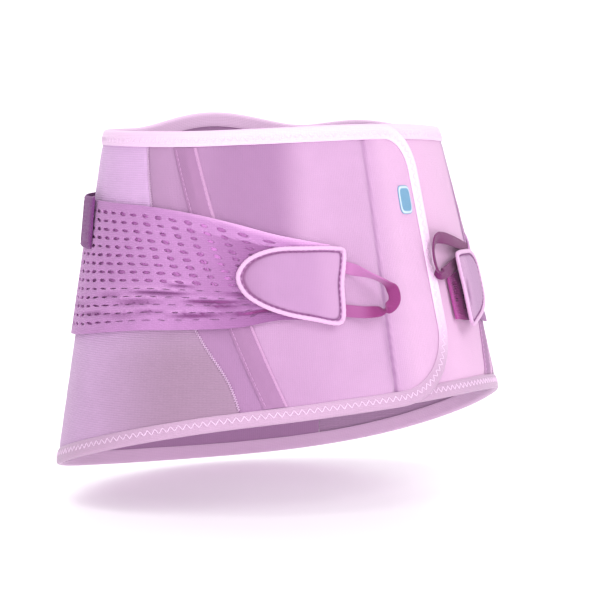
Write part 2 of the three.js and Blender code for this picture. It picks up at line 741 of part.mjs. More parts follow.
// How far the side's tab is lifted at a place, most at its straight edge and fading towards its nose
function tabRise(side) {
  const { turn, tabEdge, tabUp, tabTilt, tabLift } = SIDES[side];
  const tilt = radians(tabTilt);
  return (at, z) => {
    const back = ((at - turn(tabEdge)) / (turn(1) - turn(0))) * perDegree(tabEdge, z);
    const along = back * Math.cos(tilt) - (z - tabUp) * Math.sin(tilt);
    return tabLift * (1 - THREE.MathUtils.clamp(along / TAB_LIFT_RUN, -0.1, 1)) ** 2;
  };
}

function tabOutline(side) {
  const points = TAB_OUTLINE.map((row) => new THREE.Vector3(row.along, row.up, 0));
  const curve = new THREE.CatmullRomCurve3(points, true, "centripetal");
  const outline = curve.getSpacedPoints(TAB_POINTS).slice(0, -1).map((p) => tabPoint(side, p.x, p.y));
  return SIDES[side].turn(1) < SIDES[side].turn(0) ? outline : outline.reverse();
}

function handTab(side) {
  const cut = insetOutline(tabOutline(side), TAB_RIM + CLEAR);
  return patch("hand_tab_" + side, cut, TAB_IN, TAB_IN + TAB_THICKNESS, MATERIALS.tab, tabRise(side));
}

function tabRim(side) {
  const top = TAB_IN + TAB_THICKNESS + TAB_RIM_PROUD;
  const section = [
    { across: TAB_RIM, out: TAB_IN },
    { across: 0.3 * TAB_RIM, out: TAB_IN },
    { across: 0, out: lerp(TAB_IN, top, 0.5) },
    { across: 0.3 * TAB_RIM, out: top },
    { across: TAB_RIM, out: top - TAB_RIM_PROUD },
  ];
  return rim("tab_binding_" + side, tabOutline(side), section, true, MATERIALS.tape, tabRise(side));
}

// Finger loop: flat webbing swept through the side's bends, its two ends tucked under the tab
function fingerLoop(side) {
  const { turn, tabEdge, tabUp, loop } = SIDES[side];
  const places = loop.map((bend) => {
    const z = tabUp + bend.up * LOOP_HEIGHT;
    const out = TAB_IN - LAYER_GAP - LOOP_THICKNESS / 2 + bend.out * LOOP_STAND;
    return surface(turn(tabEdge - (bend.ahead * LOOP_REACH) / perDegree(tabEdge, z)), z, out);
  });
  const curve = new THREE.CatmullRomCurve3(places, false, "centripetal");
  const table = loop.map((bend, at) => ({ ...bend, at }));
  const last = loop.length - 1;
  const vertices = [];
  const triangles = [];
  const forwards = Math.sign(turn(0) - turn(1));
  const shares = evenly(0, 1, LOOP_STEPS);
  shares.forEach((share) => {
    const along = curve.getTangent(share);
    const middle = curve.getPoint(share);
    const ahead = fromTable(table, "at", share * last, "ahead");
    const lean = radians(fromTable(table, "at", share * last, "lean"));
    const swing = radians(fromTable(table, "at", share * last, "swing"));
    const here = turn(tabEdge - (ahead * LOOP_REACH) / perDegree(tabEdge, 0));
    const out = outward(here, middle.z);
    const forward = new THREE.Vector3(-out.y, out.x, 0).multiplyScalar(forwards);
    const width = upTheBelt(here, middle.z).multiplyScalar(Math.cos(lean));
    width.addScaledVector(forward, Math.sin(lean) * Math.cos(swing));
    width.addScaledVector(out, Math.sin(lean) * Math.sin(swing));
    width.addScaledVector(along, -width.dot(along)).normalize();
    const thick = new THREE.Vector3().crossVectors(along, width);
    for (const [w, t] of [[-0.5, -0.5], [0.5, -0.5], [0.5, 0.5], [-0.5, 0.5]]) {
      const corner = middle.clone().addScaledVector(width, w * LOOP_WEBBING);
      vertices.push(corner.addScaledVector(thick, t * LOOP_THICKNESS));
    }
  });
  for (let i = 0; i < LOOP_STEPS; i++) {
    for (let k = 0; k < 4; k++) {
      const [a, b] = [4 * i + k, 4 * i + ((k + 1) % 4)];
      triangles.push([a, b, b + 4], [a, b + 4, a + 4]);
    }
  }
  const end = 4 * LOOP_STEPS;
  triangles.push([0, 2, 1], [0, 3, 2], [end, end + 1, end + 2], [end, end + 2, end + 3]);
  return solid("finger_loop_" + side, vertices, triangles, MATERIALS.webbing);
}

for (const side of Object.keys(SIDES)) {
  belt.add(stayChannel(side), pullStrap(side), handTab(side), tabRim(side), fingerLoop(side));
}

// Back band, its top edge standing further out than its bottom edge
function backBand() {
  const [from, to] = [BAND_FRONT_ANGLE, 360 - BAND_FRONT_ANGLE];
  const grid = evenly(from, to, stepsFor(from, to, TAPE_STEP)).map((turn) =>
    [0, 0.5, 1].map((up) => {
      const inner = BAND_IN + BAND_TOP_STAND * up;
      return { turn, z: BAND_LOW + BAND_HEIGHT * up, inner, outer: inner + BAND_THICKNESS };
    }),
  );
  return sheet("back_band", grid, MATERIALS.band);
}

function closurePatch() {
  const from = -INNER_END + PATCH_INSET / flapRate;
  const to = FLAP_END - PATCH_INSET / flapRate;
  const room = FLAP_LIFT - PANEL - LAYER_GAP;
  const heights = evenly(-PATCH_HALF_HEIGHT, PATCH_HALF_HEIGHT, UPRIGHT_STEPS);
  const grid = evenly(from, to, stepsFor(from, to, PANEL_STEP)).map((turn) =>
    heights.map((z) => ({ turn, z, inner: CLEAR, outer: room })),
  );
  return sheet("closure_patch", grid, MATERIALS.hook);
}

function plainTag() {
  const rate = perDegree(FLAP_END, TAG_UP);
  const tapeAt = flapTurn - BINDING_REACH / flapRate - TAPE_COVER / rate;
  const middle = tapeAt - (TAG_MARGIN + TAG_WIDTH / 2) / rate;
  const outline = [];
  const points = 16;
  const squareness = 0.45;
  for (let k = 0; k < points; k++) {
    const angle = (2 * Math.PI * k) / points;
    const across = Math.sign(Math.cos(angle)) * Math.abs(Math.cos(angle)) ** squareness;
    const up = Math.sign(Math.sin(angle)) * Math.abs(Math.sin(angle)) ** squareness;
    outline.push({ turn: middle + (across * TAG_WIDTH) / 2 / rate, z: TAG_UP + (up * TAG_HEIGHT) / 2 });
  }
  return patch("plain_tag", outline, CLEAR, CLEAR + TAG_THICKNESS, MATERIALS.tag);
}
belt.add(backBand(), closurePatch(), plainTag());

export default belt;
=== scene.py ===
# Lumbosacral support belt: cloth, tapes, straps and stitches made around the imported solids.
# Shapes are worked out in millimetres, in the same frame as the solids, and every mesh is stored in metres.
import math

import bpy
import numpy as np
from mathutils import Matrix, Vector


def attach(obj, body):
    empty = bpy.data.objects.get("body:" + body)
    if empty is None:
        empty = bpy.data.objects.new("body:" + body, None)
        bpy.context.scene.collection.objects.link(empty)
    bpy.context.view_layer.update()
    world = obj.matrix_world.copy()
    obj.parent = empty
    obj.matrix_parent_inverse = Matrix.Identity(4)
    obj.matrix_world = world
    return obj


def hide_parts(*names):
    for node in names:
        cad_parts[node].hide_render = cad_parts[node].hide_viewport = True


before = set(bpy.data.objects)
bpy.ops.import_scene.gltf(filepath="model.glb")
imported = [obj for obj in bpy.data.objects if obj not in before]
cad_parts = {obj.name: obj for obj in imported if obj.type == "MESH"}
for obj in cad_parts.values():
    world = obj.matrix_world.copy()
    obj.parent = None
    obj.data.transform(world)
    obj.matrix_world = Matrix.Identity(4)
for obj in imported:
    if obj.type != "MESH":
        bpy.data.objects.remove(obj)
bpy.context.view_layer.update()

MM = 0.001


def table(columns, *rows):
    """Rows with named columns, from the columns' names and each row's values."""
    return [dict(zip(columns.split(), row)) for row in rows]


# The trunk and the belt's two edges, as in the solids
WAIST_HALF_WIDTH = 127
HIP_HALF_WIDTH = 177.5
DEPTH_TO_WIDTH = 0.78
WAIST_SET_BACK = 5
WAIST_SET_ASIDE = -1.65
TOP_LEVEL = 99
TOP_RISE = 10.5
TOP_WAVES = table(
    "at rise spread",
    (0, 0.43, 75),
    (112, 0.46, 30),
    (168, 1, 38),
)
HEM_LEVEL = -111.8
HEM_TILT = 33.5
HEM_WAVES = table(
    "turns cosine sine",
    (1, 1, 0.03),
    (2, -0.04, 0.11),
    (3, -0.05, 0),
)
HEM_LOWEST = HEM_LEVEL - HEM_TILT

# Cloth and tape
PANEL = 3
GUSSET = 2.4
EDGE_PINCH = 0.5
TAPE = 0.9
TAPE_COVER = 9
PINCH_BLEND = 3
CLEAR = 0.3
LAYER_GAP = 0.4

# Seams and ends, in degrees from the front centre
FRONT_SEAM = table(
    "up angle",
    (0, 45.5),
    (0.15, 49.4),
    (0.3, 56.9),
    (0.55, 68.5),
    (0.77, 76.6),
    (1, 81.5),
)
REAR_SEAM = table("up angle", (0, 137), (1, 131))
FLAP_END = 14.5
INNER_END = 24
FLAP_TOP_CORNER = 30
FLAP_HEM_CORNER = 49
CREASE_ANGLE = 6.2
LIFT_RUN = 34
LIFT_MARGIN = 2

CHANNEL_WIDTH = 16
CHANNEL_THICKNESS = 1
CHANNEL_TOP_ANGLE = 64.8
CHANNEL_HEM_ANGLE = 37.8

STRAP_THICKNESS = 1.4
STRAP_HALF_HEIGHT = 45
STRAP_DROP_FROM = 40
STRAP_DROP_TO = 112
STRAP_ROWS = table(
    "angle top bottom",
    (22, 0.57, -0.45),
    (28, 0.63, -0.49),
    (37, 0.73, -0.5),
    (47, 0.87, -0.6),
    (61, 1.02, -0.64),
    (76, 1.11, -0.67),
    (91, 1.14, -0.74),
    (112, 1.17, -0.84),
    (146, 1.18, -0.88),
)
STRAP_SELVAGE = 4

TAB_LENGTH = 68
TAB_HEIGHT = 50
TAB_THICKNESS = 2.4
TAB_RIM = 2.8
TAB_LIFT_RUN = 50
TAB_RIM_PROUD = 0.5
TAB_OUTLINE = table(
    "along up",
    (0, -0.47),
    (-0.035, 0),
    (-0.07, 0.47),
    (0.02, 0.5),
    (0.3, 0.51),
    (0.62, 0.49),
    (0.86, 0.36),
    (0.98, 0.13),
    (0.93, -0.1),
    (0.78, -0.26),
    (0.56, -0.38),
    (0.3, -0.46),
    (0.06, -0.52),
)

LOOP_WEBBING = 8
LOOP_THICKNESS = 1.6
LOOP_REACH = 32
LOOP_HEIGHT = 32
LOOP_STAND = 11

SIDES = {
    "right": dict(
        mirror=True, tab_edge=19.8, tab_up=-0.5, tab_tilt=0, tab_lift=0, tuck=4.5, top_drop=0, bottom_drop=0,
        shaded_slit=0, loop=table(
            "ahead up out lean swing",
            (-0.11, 0.36, 0, 0, 30),
            (0.02, 0.36, 0, 0, 30),
            (0.2, 0.33, 0.04, 12, 80),
            (0.55, 0.2, 0.55, 64, 100),
            (0.86, 0.03, 0.92, 84, 88),
            (1, -0.14, 1, 92, 38),
            (1, -0.36, 1, 92, 34),
            (0.84, -0.52, 0.8, 75, 10),
            (0.5, -0.57, 0.4, 35, 0),
            (0.15, -0.54, 0.02, 0, 0),
            (0.02, -0.52, 0, 0, 0),
            (-0.11, -0.52, 0, 0, 0),
        ),
    ),
    "left": dict(
        mirror=False, tab_edge=23.3, tab_up=-8, tab_tilt=2, tab_lift=6, tuck=-6, top_drop=26, bottom_drop=9,
        shaded_slit=0.6, loop=table(
            "ahead up out lean swing",
            (-1.57, 0.74, 0, 0, 30),
            (-1.22, 0.79, 0.01, 0, 30),
            (-0.75, 0.87, 0.12, 0, 30),
            (-0.14, 0.98, 0.36, 0, 30),
            (0.35, 1.07, 0.53, 10, 33),
            (0.7, 1.06, 0.64, 60, 33),
            (0.85, 0.86, 0.68, 90, 33),
            (0.88, 0.59, 0.68, 90, 33),
            (0.8, 0.36, 0.66, 50, 33),
            (0.43, 0.36, 0.44, 10, 30),
            (0, 0.45, 0.25, 0, 30),
            (-0.34, 0.5, 0.18, 0, 30),
            (-0.6, 0.46, 0.17, 0, 30),
        ),
    ),
}

BAND_FRONT_ANGLE = 103
BAND_LOW = 20
BAND_HEIGHT = 35
BAND_THICKNESS = 1.8
BAND_TOP_STAND = 2
BAND_TURN_UNDER = 2.2

PATCH_INSET = 16
PATCH_HALF_HEIGHT = 52

TAG_MARGIN = 4
TAG_UP = 53
TAG_WIDTH = 11
TAG_HEIGHT = 19
TAG_THICKNESS = 0.8

# Levels of the layers, out from the panels' outer face
CHANNEL_IN = LAYER_GAP
STRAP_IN = CHANNEL_IN + CHANNEL_THICKNESS + LAYER_GAP
STRAP_OUT = STRAP_IN + STRAP_THICKNESS
TAB_IN = STRAP_OUT + LAYER_GAP
BAND_IN = STRAP_OUT + LAYER_GAP
BINDING_OUT = CLEAR + TAPE - EDGE_PINCH
BINDING_IN = -PANEL + EDGE_PINCH - CLEAR - TAPE
BINDING_REACH = CLEAR + TAPE
FLAP_LIFT = BINDING_OUT - BINDING_IN + LAYER_GAP
FLAP_TURN = 360 + FLAP_END

# Detail that only the finished looks have
CREASE_WIDTH = 4.2
CREASE_DEPTH = 1.7
SEAM_WIDTH = 2.4
SEAM_DEPTH = 0.7
MESH_COLUMNS = 24
MESH_ROWS = 14
MESH_LEAN = 2.9
MESH_CELL = 14.7
MESH_CELL_HEIGHT = 6.2
MESH_SLOT = 6.4
MESH_SLOT_HEIGHT = 2.7
# Cloth under the straps, seen through their holes, takes this third value and colour: painted bounce light,
# a saturated purple in place of the light that passes between the strap and the cloth.
UNDER_STRAP_PAINTED_BOUNCE = 2
UNDER_STRAP_BOUNCE_COLOUR = (226, 150, 224)
ZIGZAG_PITCH = 5.4
THREAD = 0.24
STITCH_INSET = 1.9
CREASE_HALF_HEIGHT = 0.018

# Millimetres of weave for a degree of turn, on pieces at the waist
WEAVE_RATE = 2.6

# The order of a face's corners that turns it over
FLIPPED = [0, 3, 2, 1]

# The photograph's view in degrees, and the backdrop in millimetres from the belt's axis
CAMERA_TURN = -42.197
CAMERA_TILT = -4.346
FLOOR_NEAR = -2600
FLOOR_FAR = 1500
FLOOR_BEND = 900
BACKDROP_TOP = 4000
BACKDROP_HALF_WIDTH = 4200


def lerp(a, b, t):
    return a + (b - a) * t


def smooth(x):
    x = np.clip(x, 0, 1)
    return x * x * (3 - 2 * x)


def bell(x):
    """One at nought, falling smoothly to nothing at one either way."""
    return 1 - smooth(np.abs(x))


def rounded(distance, radius):
    """Height of a quarter-round edge, as a share, at a distance in from the edge."""
    away = 1 - np.clip(distance / radius, 0, 1)
    return np.sqrt(1 - away * away)


def unit(vectors):
    return vectors / np.linalg.norm(vectors, axis=-1, keepdims=True)


def lengths(path):
    """Length along a path of points up to each of them."""
    return np.concatenate([[0], np.linalg.norm(np.diff(path, axis=0), axis=1).cumsum()])


def aside_of(turn):
    """Degrees from the front centre, from -180 on the right to 180 on the left."""
    return np.mod(turn + 180, 360) - 180


def turned(side, angle):
    """The turn of an angle from the front centre on a side."""
    return 360 - angle if SIDES[side]["mirror"] else angle


def read(rows, at, x, key):
    """Column key of a table at x along its column at, on a smooth curve through the rows."""
    x = np.asarray(x, float)
    places = np.array([row[at] for row in rows], float)
    values = np.array([row[key] for row in rows], float)
    last = len(rows) - 1
    i = np.clip(np.searchsorted(places, x, side="left") - 1, 0, last - 1)
    before, after = np.maximum(np.arange(last + 1) - 1, 0), np.minimum(np.arange(last + 1) + 1, last)
    slope = (values[after] - values[before]) / (places[after] - places[before])
    span = places[i + 1] - places[i]
    t = np.clip((x - places[i]) / span, 0, 1)
    s = 1 - t
    ends = s * s * (1 + 2 * t) * values[i] + t * t * (3 - 2 * t) * values[i + 1]
    return ends + span * t * s * (s * slope[i] - t * slope[i + 1])


def top_edge(turn):
    z = np.full(np.shape(turn), float(TOP_LEVEL))
    for wave in TOP_WAVES:
        away = np.abs(aside_of(turn - wave["at"])) / wave["spread"]
        z = z + np.where(away < 1, TOP_RISE * wave["rise"] * 0.5 * (1 + np.cos(np.pi * away)), 0)
    return z


def hem_edge(turn):
    z = np.full(np.shape(turn), float(HEM_LEVEL))
    for wave in HEM_WAVES:
        angle = np.radians(np.multiply(turn, wave["turns"]))
        z = z + HEM_TILT * (wave["cosine"] * np.cos(angle) + wave["sine"] * np.sin(angle))
    return z


def flap_lift(turn):
    return FLAP_LIFT * smooth(1 + (turn - (360 - INNER_END - LIFT_MARGIN)) / LIFT_RUN)


def ring(z):
    down = (TOP_LEVEL - z) / (TOP_LEVEL - HEM_LOWEST)
    half = lerp(WAIST_HALF_WIDTH, HIP_HALF_WIDTH, down)
    return half, half * DEPTH_TO_WIDTH


def per_degree(turn, z):
    half, depth = ring(z)
    angle = np.radians(turn)
    return np.radians(np.hypot(half * np.cos(angle), depth * np.sin(angle)))


def folds(turn, z):
    """Slow rises and dips that all layers of the belt share."""
    up = (z - HEM_LOWEST) / (TOP_LEVEL - HEM_LOWEST)
    slow = 0.5 * np.sin(np.radians(turn * 5 + 40 * up)) + 0.35 * np.sin(np.radians(turn * 9 - 110 * up + 60))
    pull = -1.1 * bell((z - 2) / 30) * bell((np.abs(aside_of(turn)) - 30) / 34)
    return 0.55 * slow + 0.35 * pull


def outward(turn, z):
    half, depth = ring(z)
    angle = np.radians(turn)
    return unit(np.stack([np.sin(angle) / half, -np.cos(angle) / depth, np.zeros(np.shape(angle * z))], -1))


def surface(turn, z, out):
    """Points of the belt: turn in degrees, height z, and out from the panels' outer face."""
    turn, z, out = np.broadcast_arrays(np.asarray(turn, float), np.asarray(z, float), np.asarray(out, float))
    half, depth = ring(z)
    angle = np.radians(turn)
    x = half * np.sin(angle) + WAIST_SET_ASIDE * z / TOP_LEVEL
    y = -depth * np.cos(angle) + WAIST_SET_BACK * z / TOP_LEVEL
    away = out + flap_lift(turn) + folds(turn, z)
    return np.stack([x, y, z], -1) + outward(turn, z) * away[..., None]


FLAP_RATE = float(per_degree(FLAP_END, 0))


def strap_height(side, angle, key):
    """Level of a strap's top or bottom edge at an angle from the front."""
    fade = smooth((angle - STRAP_DROP_FROM) / (STRAP_DROP_TO - STRAP_DROP_FROM))
    drop = SIDES[side][key + "_drop"] * (1 - fade)
    return STRAP_HALF_HEIGHT * read(STRAP_ROWS, "angle", angle, key) - drop


def mesh_piece(name, vertices, faces, material, cloth, sharp=50):
    """A Blender object from points in millimetres. cloth is each point's place on the cloth and its tint,
    which on most pieces is painted shade or light.
    """
    mesh = bpy.data.meshes.new(name)
    mesh.from_pydata((np.asarray(vertices) * MM).tolist(), [], faces)
    mesh.update()
    layer = mesh.attributes.new("cloth", "FLOAT_VECTOR", "POINT")
    layer.data.foreach_set("vector", np.asarray(cloth, np.float32).ravel())
    mesh.polygons.foreach_set("use_smooth", [True] * len(mesh.polygons))
    mesh.set_sharp_from_angle(angle=math.radians(sharp))
    mesh.materials.append(material)
    piece = bpy.data.objects.new(name, mesh)
    bpy.context.scene.collection.objects.link(piece)
    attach(piece, "root")
    return piece


def stands_for(piece, slot, *nodes):
    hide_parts(*nodes)


def quads(at):
    """Faces between the rows and columns of a grid of point numbers."""
    return np.stack([at[:-1, :-1], at[1:, :-1], at[1:, 1:], at[:-1, 1:]], -1).reshape(-1, 4)


def shell(name, outer, inner, cloth, material, closed=False, inner_painted_shade=None):
    """A closed sheet between two grids of points. One closed along its first direction is filled at its end.
    inner_painted_shade is the third cloth value on the inner side, where that has its own."""
    n, m = outer.shape[:2]
    count = n * m
    at = np.arange(count).reshape(n, m)
    if closed:
        at = np.concatenate([at, at[:1]])
    front = quads(at)
    faces = front.tolist() + (front[:, FLIPPED] + count).tolist()

    def rim(edge):
        near, far = edge[:-1], edge[1:]
        return np.stack([near, far, far + count, near + count], -1).tolist()

    faces += rim(at[:, 0][::-1])[::-1]
    if closed:
        faces += [at[:-1, -1].tolist(), (at[:-1, -1][::-1] + count).tolist()]
    else:
        faces += rim(at[:, -1]) + rim(at[0]) + rim(at[-1][::-1])[::-1]
    vertices = np.concatenate([outer.reshape(-1, 3), inner.reshape(-1, 3)])
    places = np.concatenate([cloth.reshape(-1, 3)] * 2)
    if inner_painted_shade is not None:
        places[count:, 2] = inner_painted_shade
    return mesh_piece(name, vertices, faces, material, places)


def declare(places, folded=0.0):
    """Work out a sheet's cut size, measured along the belt over a grid of places, plus what is folded
    under along its second direction, and its area; neither is kept or returned."""
    points = surface(places[..., 0], places[..., 1], 0)
    steps = [np.linalg.norm(np.diff(points, axis=k), axis=-1) for k in (0, 1)]
    wide, tall = (steps[k].sum(axis=k) + folded * k for k in (0, 1))
    flat = sorted((float(wide.max()) * MM, float(tall.max()) * MM))
    area = float(wide.mean() * tall.mean()) * MM * MM
    area = min(max(area, 0.3 * flat[0] * flat[1]), flat[0] * flat[1])


def tube(name, path, across, out, material, closed=False):
    """A thread along a path, with a section given by two directions of the radius's length."""
    n = len(path)
    sides = 6
    angle = np.arange(sides) * 2 * np.pi / sides
    section = np.cos(angle)[None, :, None] * across[:, None] + np.sin(angle)[None, :, None] * out[:, None]
    points = path[:, None] + section
    at = np.arange(n * sides).reshape(n, sides)
    if closed:
        at = np.concatenate([at, at[:1]])
    around = np.concatenate([at, at[:, :1]], 1)
    faces = quads(around)[:, FLIPPED].tolist()
    if not closed:
        faces += [at[0].tolist(), at[-1][::-1].tolist()]
    steps = lengths(path)
    cloth = np.stack([np.repeat(steps, sides), np.tile(angle, n), np.zeros(n * sides)], -1)
    return mesh_piece(name, points.reshape(-1, 3), faces, material, cloth, 80)


def spaced(points, step, closed=False):
    """Places (turn, z) at even steps of millimetres along a path of places on the belt."""
    points = np.asarray(points, float)
    if closed:
        points = np.concatenate([points, points[:1]])
    along = lengths(surface(points[:, 0], points[:, 1], 0))
    count = max(int(round(along[-1] / step)), 2)
    at = np.linspace(0, along[-1], count + 1)
    if closed:
        at = at[:-1]
    places = np.stack([np.interp(at, along, points[:, k]) for k in (0, 1)], -1)
    return places, at


def inward_of(places, closed=False):
    """For each place of a path, the step to its left, as (degrees, millimetres up) for a millimetre."""
    if closed:
        before, after = np.roll(places, 1, axis=0), np.roll(places, -1, axis=0)
    else:
        before = np.concatenate([places[:1], places[:-1]])
        after = np.concatenate([places[1:], places[-1:]])
    rate = per_degree(places[:, 0], places[:, 1])
    run, rise = (after[:, 0] - before[:, 0]) * rate, after[:, 1] - before[:, 1]
    size = np.hypot(run, rise)
    return np.stack([-rise / size / rate, run / size], -1)


def moved(places, inward, across):
    """Turns and heights of a grid: each place of a path moved in by the amounts of its row."""
    return [places[:, k][:, None] + inward[:, k][:, None] * across for k in (0, 1)]


def laid_thread(name, places, across, out, material, radius=THREAD, closed=False):
    """A thread on the belt along places, shifted across and out by each place's own amounts."""
    inward = inward_of(places, closed)
    turn = places[:, 0] + inward[:, 0] * across
    z = places[:, 1] + inward[:, 1] * across
    path = surface(turn, z, out)
    if closed:
        along = np.roll(path, -1, axis=0) - np.roll(path, 1, axis=0)
    else:
        along = np.gradient(path, axis=0)
    normal = outward(turn, z)
    side = unit(np.cross(along, normal))
    up = unit(np.cross(side, along))
    tube(name, path, side * radius, up * radius, material, closed)


# Materials: every cloth reads its place in millimetres from the mesh, so its weave runs along the piece
def node_tree(name):
    material = bpy.data.materials.new(name)
    material.use_nodes = True
    tree = material.node_tree
    return material, tree, tree.nodes["Principled BSDF"]


def put(tree, node, values):
    """Set or link a node's inputs, from a dictionary of their names or numbers."""
    for key, value in values.items():
        if isinstance(value, bpy.types.NodeSocket):
            tree.links.new(value, node.inputs[key])
        else:
            node.inputs[key].default_value = value
    return node


def new_node(tree, kind, values):
    return put(tree, tree.nodes.new("ShaderNode" + kind), values)


def math_node(tree, kind, a, b=0.0):
    node = new_node(tree, "Math", {0: a, 1: b})
    node.operation = kind
    return node.outputs[0]


def times(tree, a, b):
    return math_node(tree, "MULTIPLY", a, b)


def plus(tree, a, b):
    return math_node(tree, "ADD", a, b)


def wave_node(tree, value, period):
    return math_node(tree, "SINE", times(tree, value, 2 * math.pi / period))


def noise_node(tree, vector, size, detail):
    """Noise from nought to one whose lumps are about size millimetres across."""
    return new_node(tree, "TexNoise", {"Vector": vector, "Scale": 1 / size, "Detail": detail}).outputs[0]


def mixed(tree, factor, low, high):
    """A blend of two colours. Inputs 6 and 7 and output 2 are the colour ones of this node."""
    node = tree.nodes.new("ShaderNodeMix")
    node.data_type = "RGBA"
    return put(tree, node, {0: factor, 6: low, 7: high}).outputs[2]


def linear(rgb):
    """Linear colour from a screen colour of 0 to 255."""
    shares = [c / 255 for c in rgb]
    return (*(c / 12.92 if c <= 0.04045 else ((c + 0.055) / 1.055) ** 2.4 for c in shares), 1)


def scaled(rgba, share):
    return (*(min(c * share, 1) for c in rgba[:3]), 1)


def knit(tree, u, v, pitch):
    """Columns of small loops."""
    columns = wave_node(tree, u, pitch)
    lean = times(tree, math_node(tree, "ABSOLUTE", columns), pitch * 0.6)
    loops = wave_node(tree, plus(tree, v, lean), pitch * 0.9)
    return times(tree, plus(tree, columns, loops), 0.25)


def plain_weave(tree, u, v, pitch):
    return times(tree, times(tree, wave_node(tree, u, pitch), wave_node(tree, v, pitch)), 0.5)


def ribs(tree, u, v, pitch):
    along = times(tree, wave_node(tree, v, pitch), 0.38)
    return plus(tree, along, times(tree, wave_node(tree, u, pitch * 1.7), 0.12))


def twill(tree, u, v, pitch):
    slant = times(tree, wave_node(tree, plus(tree, u, v), pitch), 0.36)
    return plus(tree, slant, times(tree, wave_node(tree, u, pitch * 0.5), 0.14))


def fabric(
    name, rgb, weave, pitch, relief=0.16, blotch=0.07, tint=None, light=None, deep=None, roughness=0.86,
    sheen=0.25,
):
    """A cloth: weave and fibres as relief, slow and fine changes of tone, and a colour darker where the
    weave is low, as painted shade in its hollows. A point's third cloth value blends the colour towards
    tint, past 1 from tint to deep, and below nought towards light; on most pieces these carry painted shade,
    painted bounce light and painted light."""
    material, tree, shader = node_tree(name)
    place = new_node(tree, "Attribute", {})
    place.attribute_name = "cloth"
    u, v, shade = new_node(tree, "SeparateXYZ", {0: place.outputs["Vector"]}).outputs
    flat = new_node(tree, "CombineXYZ", {0: u, 1: v}).outputs[0]
    base = linear(rgb)
    slow = noise_node(tree, flat, 22, 3)
    colour = mixed(tree, slow, scaled(base, 1 - blotch), scaled(base, 1 + blotch))
    if tint is not None:
        colour = mixed(tree, math_node(tree, "MAXIMUM", shade, 0), colour, linear(tint))
    if deep is not None:
        above = math_node(tree, "MAXIMUM", math_node(tree, "SUBTRACT", shade, 1), 0)
        colour = mixed(tree, above, colour, linear(deep))
    if light is not None:
        below = math_node(tree, "MAXIMUM", times(tree, shade, -1), 0)
        colour = mixed(tree, below, colour, linear(light))
    # The colour is scaled by the weave and fibres: darker in the weave's hollows, a painted shade, with the
    # fibres' noise varying the tone.
    fibres = noise_node(tree, flat, pitch * 0.45, 4)
    grain = plus(tree, weave(tree, u, v, pitch), times(tree, fibres, 0.8))
    ramp = {"Value": grain, "From Min": -0.3, "From Max": 1.1, "To Min": 0.9, "To Max": 1.05}
    shaded = tree.nodes.new("ShaderNodeVectorMath")
    shaded.operation = "SCALE"
    put(tree, shaded, {0: colour, "Scale": new_node(tree, "MapRange", ramp).outputs[0]})
    bump = new_node(tree, "Bump", {"Height": grain, "Distance": relief * MM, "Strength": 1})
    put(tree, shader, {
        "Base Color": shaded.outputs[0], "Normal": bump.outputs[0], "Roughness": roughness,
        "Specular IOR Level": 0.25, "Sheen Weight": sheen, "Sheen Roughness": 0.4,
        "Sheen Tint": (1, 0.93, 1, 1),
    })
    return material


# tint, light and deep are the colours that painted shade, painted light and the painted bounce light under
# the straps blend towards; the tag's tint is its printed border, and the strap's deep colour is its darker
# front end on the left.
CLOTH = {
    "panel": fabric(
        "panel_knit", (197, 156, 194), knit, 1.3,
        tint=(166, 124, 165), light=(242, 197, 231), deep=UNDER_STRAP_BOUNCE_COLOUR,
    ),
    "gusset": fabric(
        "gusset_knit", (210, 171, 214), ribs, 1.5, blotch=0.09,
        tint=(157, 127, 152), light=(248, 202, 236), deep=UNDER_STRAP_BOUNCE_COLOUR,
    ),
    "tape": fabric(
        "edge_tape", (193, 159, 188), ribs, 1.1, blotch=0.05,
        light=(255, 220, 252), sheen=0.4, roughness=0.7,
    ),
    "channel": fabric(
        "channel_tape", (164, 121, 161), twill, 1.4, light=(206, 160, 200), deep=UNDER_STRAP_BOUNCE_COLOUR,
    ),
    "strap": fabric(
        "strap_knit", (186, 132, 187), ribs, 1.2, relief=0.2,
        tint=(128, 72, 126), light=(232, 178, 228), deep=(176, 78, 154),
    ),
    "tab": fabric(
        "tab_plush", (182, 139, 181), knit, 1.1, relief=0.12, tint=(122, 68, 114), light=(206, 163, 201),
    ),
    "cord": fabric("tab_cord", (228, 182, 222), plain_weave, 0.9, sheen=0.4, roughness=0.7),
    "webbing": fabric(
        "loop_webbing", (143, 58, 120), twill, 1.3, relief=0.2, tint=(104, 38, 92), light=(206, 138, 196),
    ),
    "band": fabric("band_webbing", (124, 62, 126), twill, 2.2, relief=0.3),
    "hook": fabric("hook_tape", (217, 169, 214), plain_weave, 1.2, relief=0.5),
    "tag": fabric("tag_weave", (112, 156, 186), plain_weave, 0.8, relief=0.1, tint=(222, 236, 246)),
}
for name, rgb in (
    ("light_thread", (240, 212, 238)), ("seam_thread", (216, 180, 214)),
    ("matching_thread", (206, 158, 203)), ("dark_thread", (142, 84, 138)),
):
    CLOTH[name] = fabric(name, rgb, plain_weave, 0.5, relief=0.05)


# Panels, gussets and back
def corner_cut(radius, away):
    inside = np.clip(radius - np.maximum(away, 0), 0, radius)
    return radius - np.sqrt(radius * radius - inside * inside)


def flap_away(turn):
    return (FLAP_TURN - turn) * FLAP_RATE - BINDING_REACH


def front_seam(up):
    return read(FRONT_SEAM, "up", up, "angle")


def rear_seam(up):
    return read(REAR_SEAM, "up", up, "angle")


SEAM_GAP = CLEAR / 2 / float(per_degree(90, 0))
INNER_TURN = -INNER_END + BINDING_REACH / FLAP_RATE
CELL = 2.6


